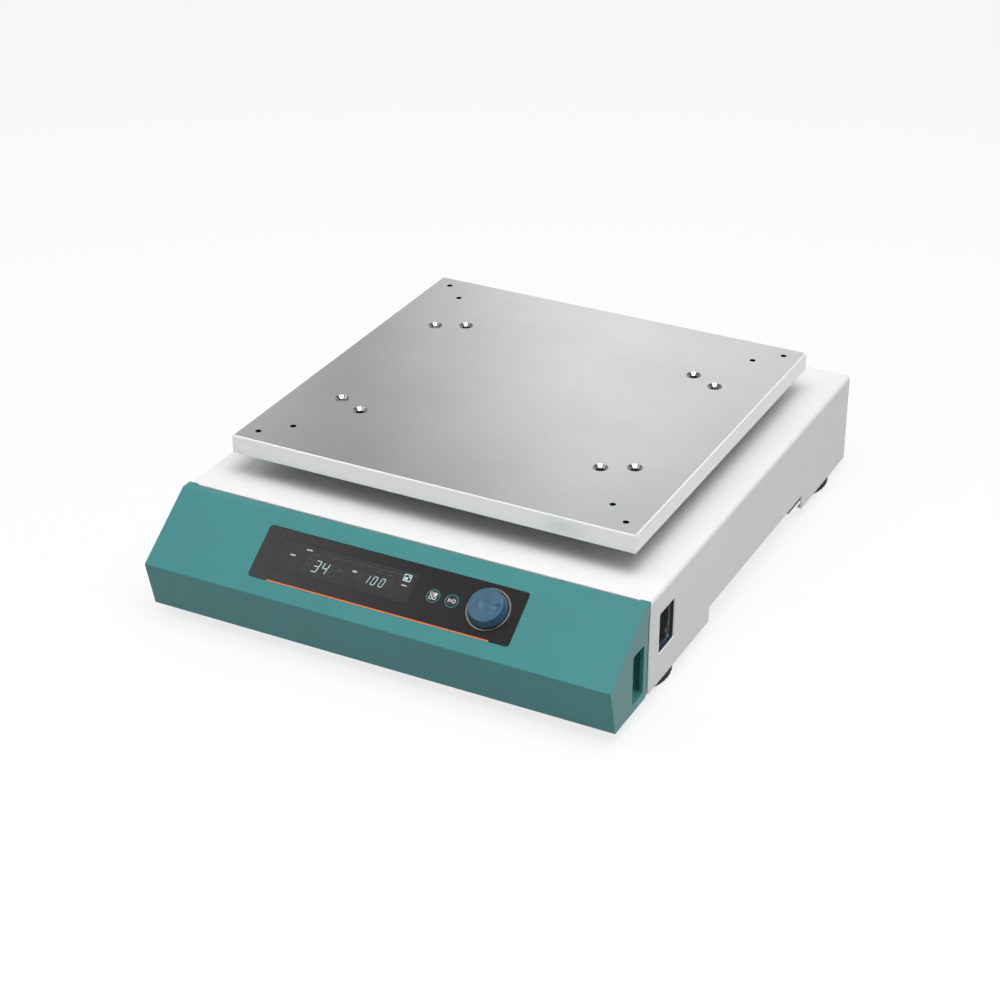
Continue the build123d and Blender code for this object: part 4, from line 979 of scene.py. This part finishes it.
def seen_by(nodes, links, *kinds):
    """1 for a ray of one of the kinds, such as Is Camera Ray, and 0 for all others."""
    light_path = nodes.new("ShaderNodeLightPath")
    output = light_path.outputs[kinds[0]]
    for kind in kinds[1:]:
        output = reckon(nodes, links, "MAXIMUM", output, light_path.outputs[kind])
    return output


def white_floor():
    """Large plane: white with a soft shadow to the camera and in mirrors, and a grey bounce."""
    corners = FLOOR_HALF * np.array([[-1, -1, 0], [1, -1, 0], [1, 1, 0], [-1, 1, 0]])
    mesh = bpy.data.meshes.new("studio_floor")
    mesh.from_pydata(corners.tolist(), [], [(0, 1, 2, 3)])
    floor = bpy.data.objects.new("studio_floor", mesh)
    bpy.context.scene.collection.objects.link(floor)
    material = finish_of("studio_floor_white", (FLOOR_BOUNCE, FLOOR_BOUNCE, FLOOR_BOUNCE, 1),
                         roughness=FLOOR_ROUGHNESS, Specular_IOR_Level=0.0)
    nodes, links, bounce = tree_of(material)
    paper = nodes.new("ShaderNodeBsdfDiffuse")
    paper.inputs["Color"].default_value = (FLOOR_PAPER, FLOOR_PAPER, FLOOR_PAPER, 1)
    white = nodes.new("ShaderNodeEmission")
    half_white = mixed_by(nodes, links, 1 - FLOOR_SHADOW, paper.outputs[0], white.outputs[0])
    shown_ray = seen_by(nodes, links, "Is Camera Ray", "Is Glossy Ray", "Is Transmission Ray")
    shown = mixed_by(nodes, links, shown_ray, bounce.outputs[0], half_white)
    links.new(shown, nodes["Material Output"].inputs["Surface"])
    mesh.materials.append(material)


white_floor()
print("the floor is", 2 * FLOOR_HALF, "m wide")

# %% [markdown]
# ## What the platform mirrors
# The satin platform mirrors what stands behind it, so in mirrors the world has the soft fields of
# a real studio: brighter to the right and near the horizon, with a darker field to the left. A
# picture of a studio could do this too, but two grey ramps are enough, one by the direction's share
# to the right and one by its share upwards.

# %% Fields of the studio
STUDIO_RIGHT = (0.8891, 0.4576, 0.0)
# Each stop is a share of the direction, to the right or upwards, and a grey.
FIELD_BY_SIDE = [(-0.2, 0.6), (-0.1, 0.56), (-0.064, 0.36), (-0.03, 0.6),
                 (0.047, 0.92), (0.1, 0.78), (0.2, 0.75)]
FIELD_BY_HEIGHT = [(0.3, 1.0), (0.42, 1.0), (0.46, 0.86), (0.495, 0.66), (0.65, 0.3)]


def ramp_of(nodes, links, value, stops):
    """Grey ramp with eased steps: stops are pairs of the value and the grey that it gets."""
    low, high = stops[0][0], stops[-1][0]
    shares = [(place - low) / (high - low) for place, _ in stops]
    span = nodes.new("ShaderNodeMapRange")
    span.inputs["From Min"].default_value = low
    span.inputs["From Max"].default_value = high
    ramp = nodes.new("ShaderNodeValToRGB")
    ramp.color_ramp.interpolation = "EASE"
    for share in shares[1:-1]:
        ramp.color_ramp.elements.new(share)
    for element, share, (_, grey) in zip(ramp.color_ramp.elements, shares, stops):
        element.position = share
        element.color = (grey, grey, grey, 1)
    links.new(value, span.inputs["Value"])
    links.new(span.outputs["Result"], ramp.inputs["Fac"])
    return ramp.outputs["Color"]


def studio_fields(nodes, links):
    """Grey of a direction: the ramp of its share to the right times the ramp of its height."""
    place = nodes.new("ShaderNodeTexCoord")
    sideways = nodes.new("ShaderNodeVectorMath")
    sideways.operation = "DOT_PRODUCT"
    sideways.inputs[1].default_value = STUDIO_RIGHT
    links.new(place.outputs["Generated"], sideways.inputs[0])
    height = nodes.new("ShaderNodeSeparateXYZ")
    links.new(place.outputs["Generated"], height.inputs[0])
    by_side = ramp_of(nodes, links, sideways.outputs["Value"], FIELD_BY_SIDE)
    by_height = ramp_of(nodes, links, height.outputs["Z"], FIELD_BY_HEIGHT)
    return blend(nodes, links, 1.0, by_side, by_height, "MULTIPLY")


print("stops of the fields", len(FIELD_BY_SIDE), "and", len(FIELD_BY_HEIGHT))

# %% [markdown]
# ## The world round the machine
# To the camera the world is white, in mirrors it has the studio's fields, and for everything else
# it is a plain soft light. Only light is made here, and no finish knows where the camera stands.

# %% Set up the world
WHITE = (1, 1, 1, 1)
WORLD_LIGHT = 0.42
FIELD_STRENGTH = 1.05


def studio_world():
    """White to the camera, soft fields in mirrors, and a plain soft light for everything else."""
    world = bpy.data.worlds.new("studio")
    bpy.context.scene.world = world
    world.use_nodes = True
    nodes, links = world.node_tree.nodes, world.node_tree.links
    plain = nodes["Background"]
    plain.inputs["Color"].default_value = WHITE
    plain.inputs["Strength"].default_value = WORLD_LIGHT
    seen = nodes.new("ShaderNodeBackground")
    seen.inputs["Color"].default_value = WHITE
    fields = nodes.new("ShaderNodeBackground")
    fields.inputs["Strength"].default_value = FIELD_STRENGTH
    links.new(studio_fields(nodes, links), fields.inputs["Color"])
    mirror_ray = seen_by(nodes, links, "Is Glossy Ray")
    glossy = mixed_by(nodes, links, mirror_ray, plain.outputs[0], fields.outputs[0])
    background_ray = seen_by(nodes, links, "Is Camera Ray", "Is Transmission Ray")
    shown = mixed_by(nodes, links, background_ray, glossy, seen.outputs[0])
    links.new(shown, nodes["World Output"].inputs["Surface"])


studio_world()
print("plain light of the world", WORLD_LIGHT)

# %% [markdown]
# ## Lamps
# A large soft lamp hangs above, to the right and in front, so that the top is brightest, the side a
# light grey and the lower front the darkest. A weak strip from the left opens the shadows. A very
# small lamp inside the housing lets the side window show the board and the tray behind it.


# %% Hang the lamps
def put_up(name, data, place):
    """Puts a lamp or a camera in its place in the scene."""
    thing = bpy.data.objects.new(name, data)
    bpy.context.scene.collection.objects.link(thing)
    thing.location = place
    return thing


def soft_lamp(name, place, target, size, power):
    """Square area lamp that looks at a point."""
    data = bpy.data.lights.new(name, "AREA")
    data.shape = "SQUARE"
    data.size = size
    data.energy = power
    lamp = put_up(name, data, place)
    lamp.rotation_euler = (Vector(target) - Vector(place)).to_track_quat("-Z", "Y").to_euler()


def small_lamp(name, place, radius, power):
    """Lamp that shines from a small ball to all sides."""
    data = bpy.data.lights.new(name, "POINT")
    data.energy = power
    data.shadow_soft_size = radius
    put_up(name, data, place)


soft_lamp("top_lamp", place=(0.5, -0.5, 2.2), target=(0, 0, 0.1), size=1.8, power=40)
soft_lamp("left_strip", place=(-1.75, -0.8, 2.2), target=(-0.11, -0.21, 0.07), size=1.1, power=7)
small_lamp("inside_light", place=(0.12, -0.15, 0.078), radius=0.01, power=0.07)
print("lamps", len(bpy.data.lights))

# %% [markdown]
# ## Camera
# The camera stands to the right, in front and above, and far enough away that the edges of the
# machine hardly run together. A plain display transform shows the colours as they were written.

# %% Place the camera
CAMERA_PLACE = (0.7668, -1.5182, 0.9811)
CAMERA_FORWARD = (-0.40021, 0.77760, -0.48495)
CAMERA_LENS = 84.44
CAMERA_SENSOR = 36.0
camera_data = bpy.data.cameras.new("photo_camera")
camera_data.lens = CAMERA_LENS
camera_data.sensor_width = CAMERA_SENSOR
camera = put_up("photo_camera", camera_data, CAMERA_PLACE)
camera.rotation_euler = Vector(CAMERA_FORWARD).to_track_quat("-Z", "Y").to_euler()
bpy.context.scene.camera = camera
bpy.context.scene.view_settings.view_transform = "Standard"
print("camera", [round(c, 3) for c in camera.location])
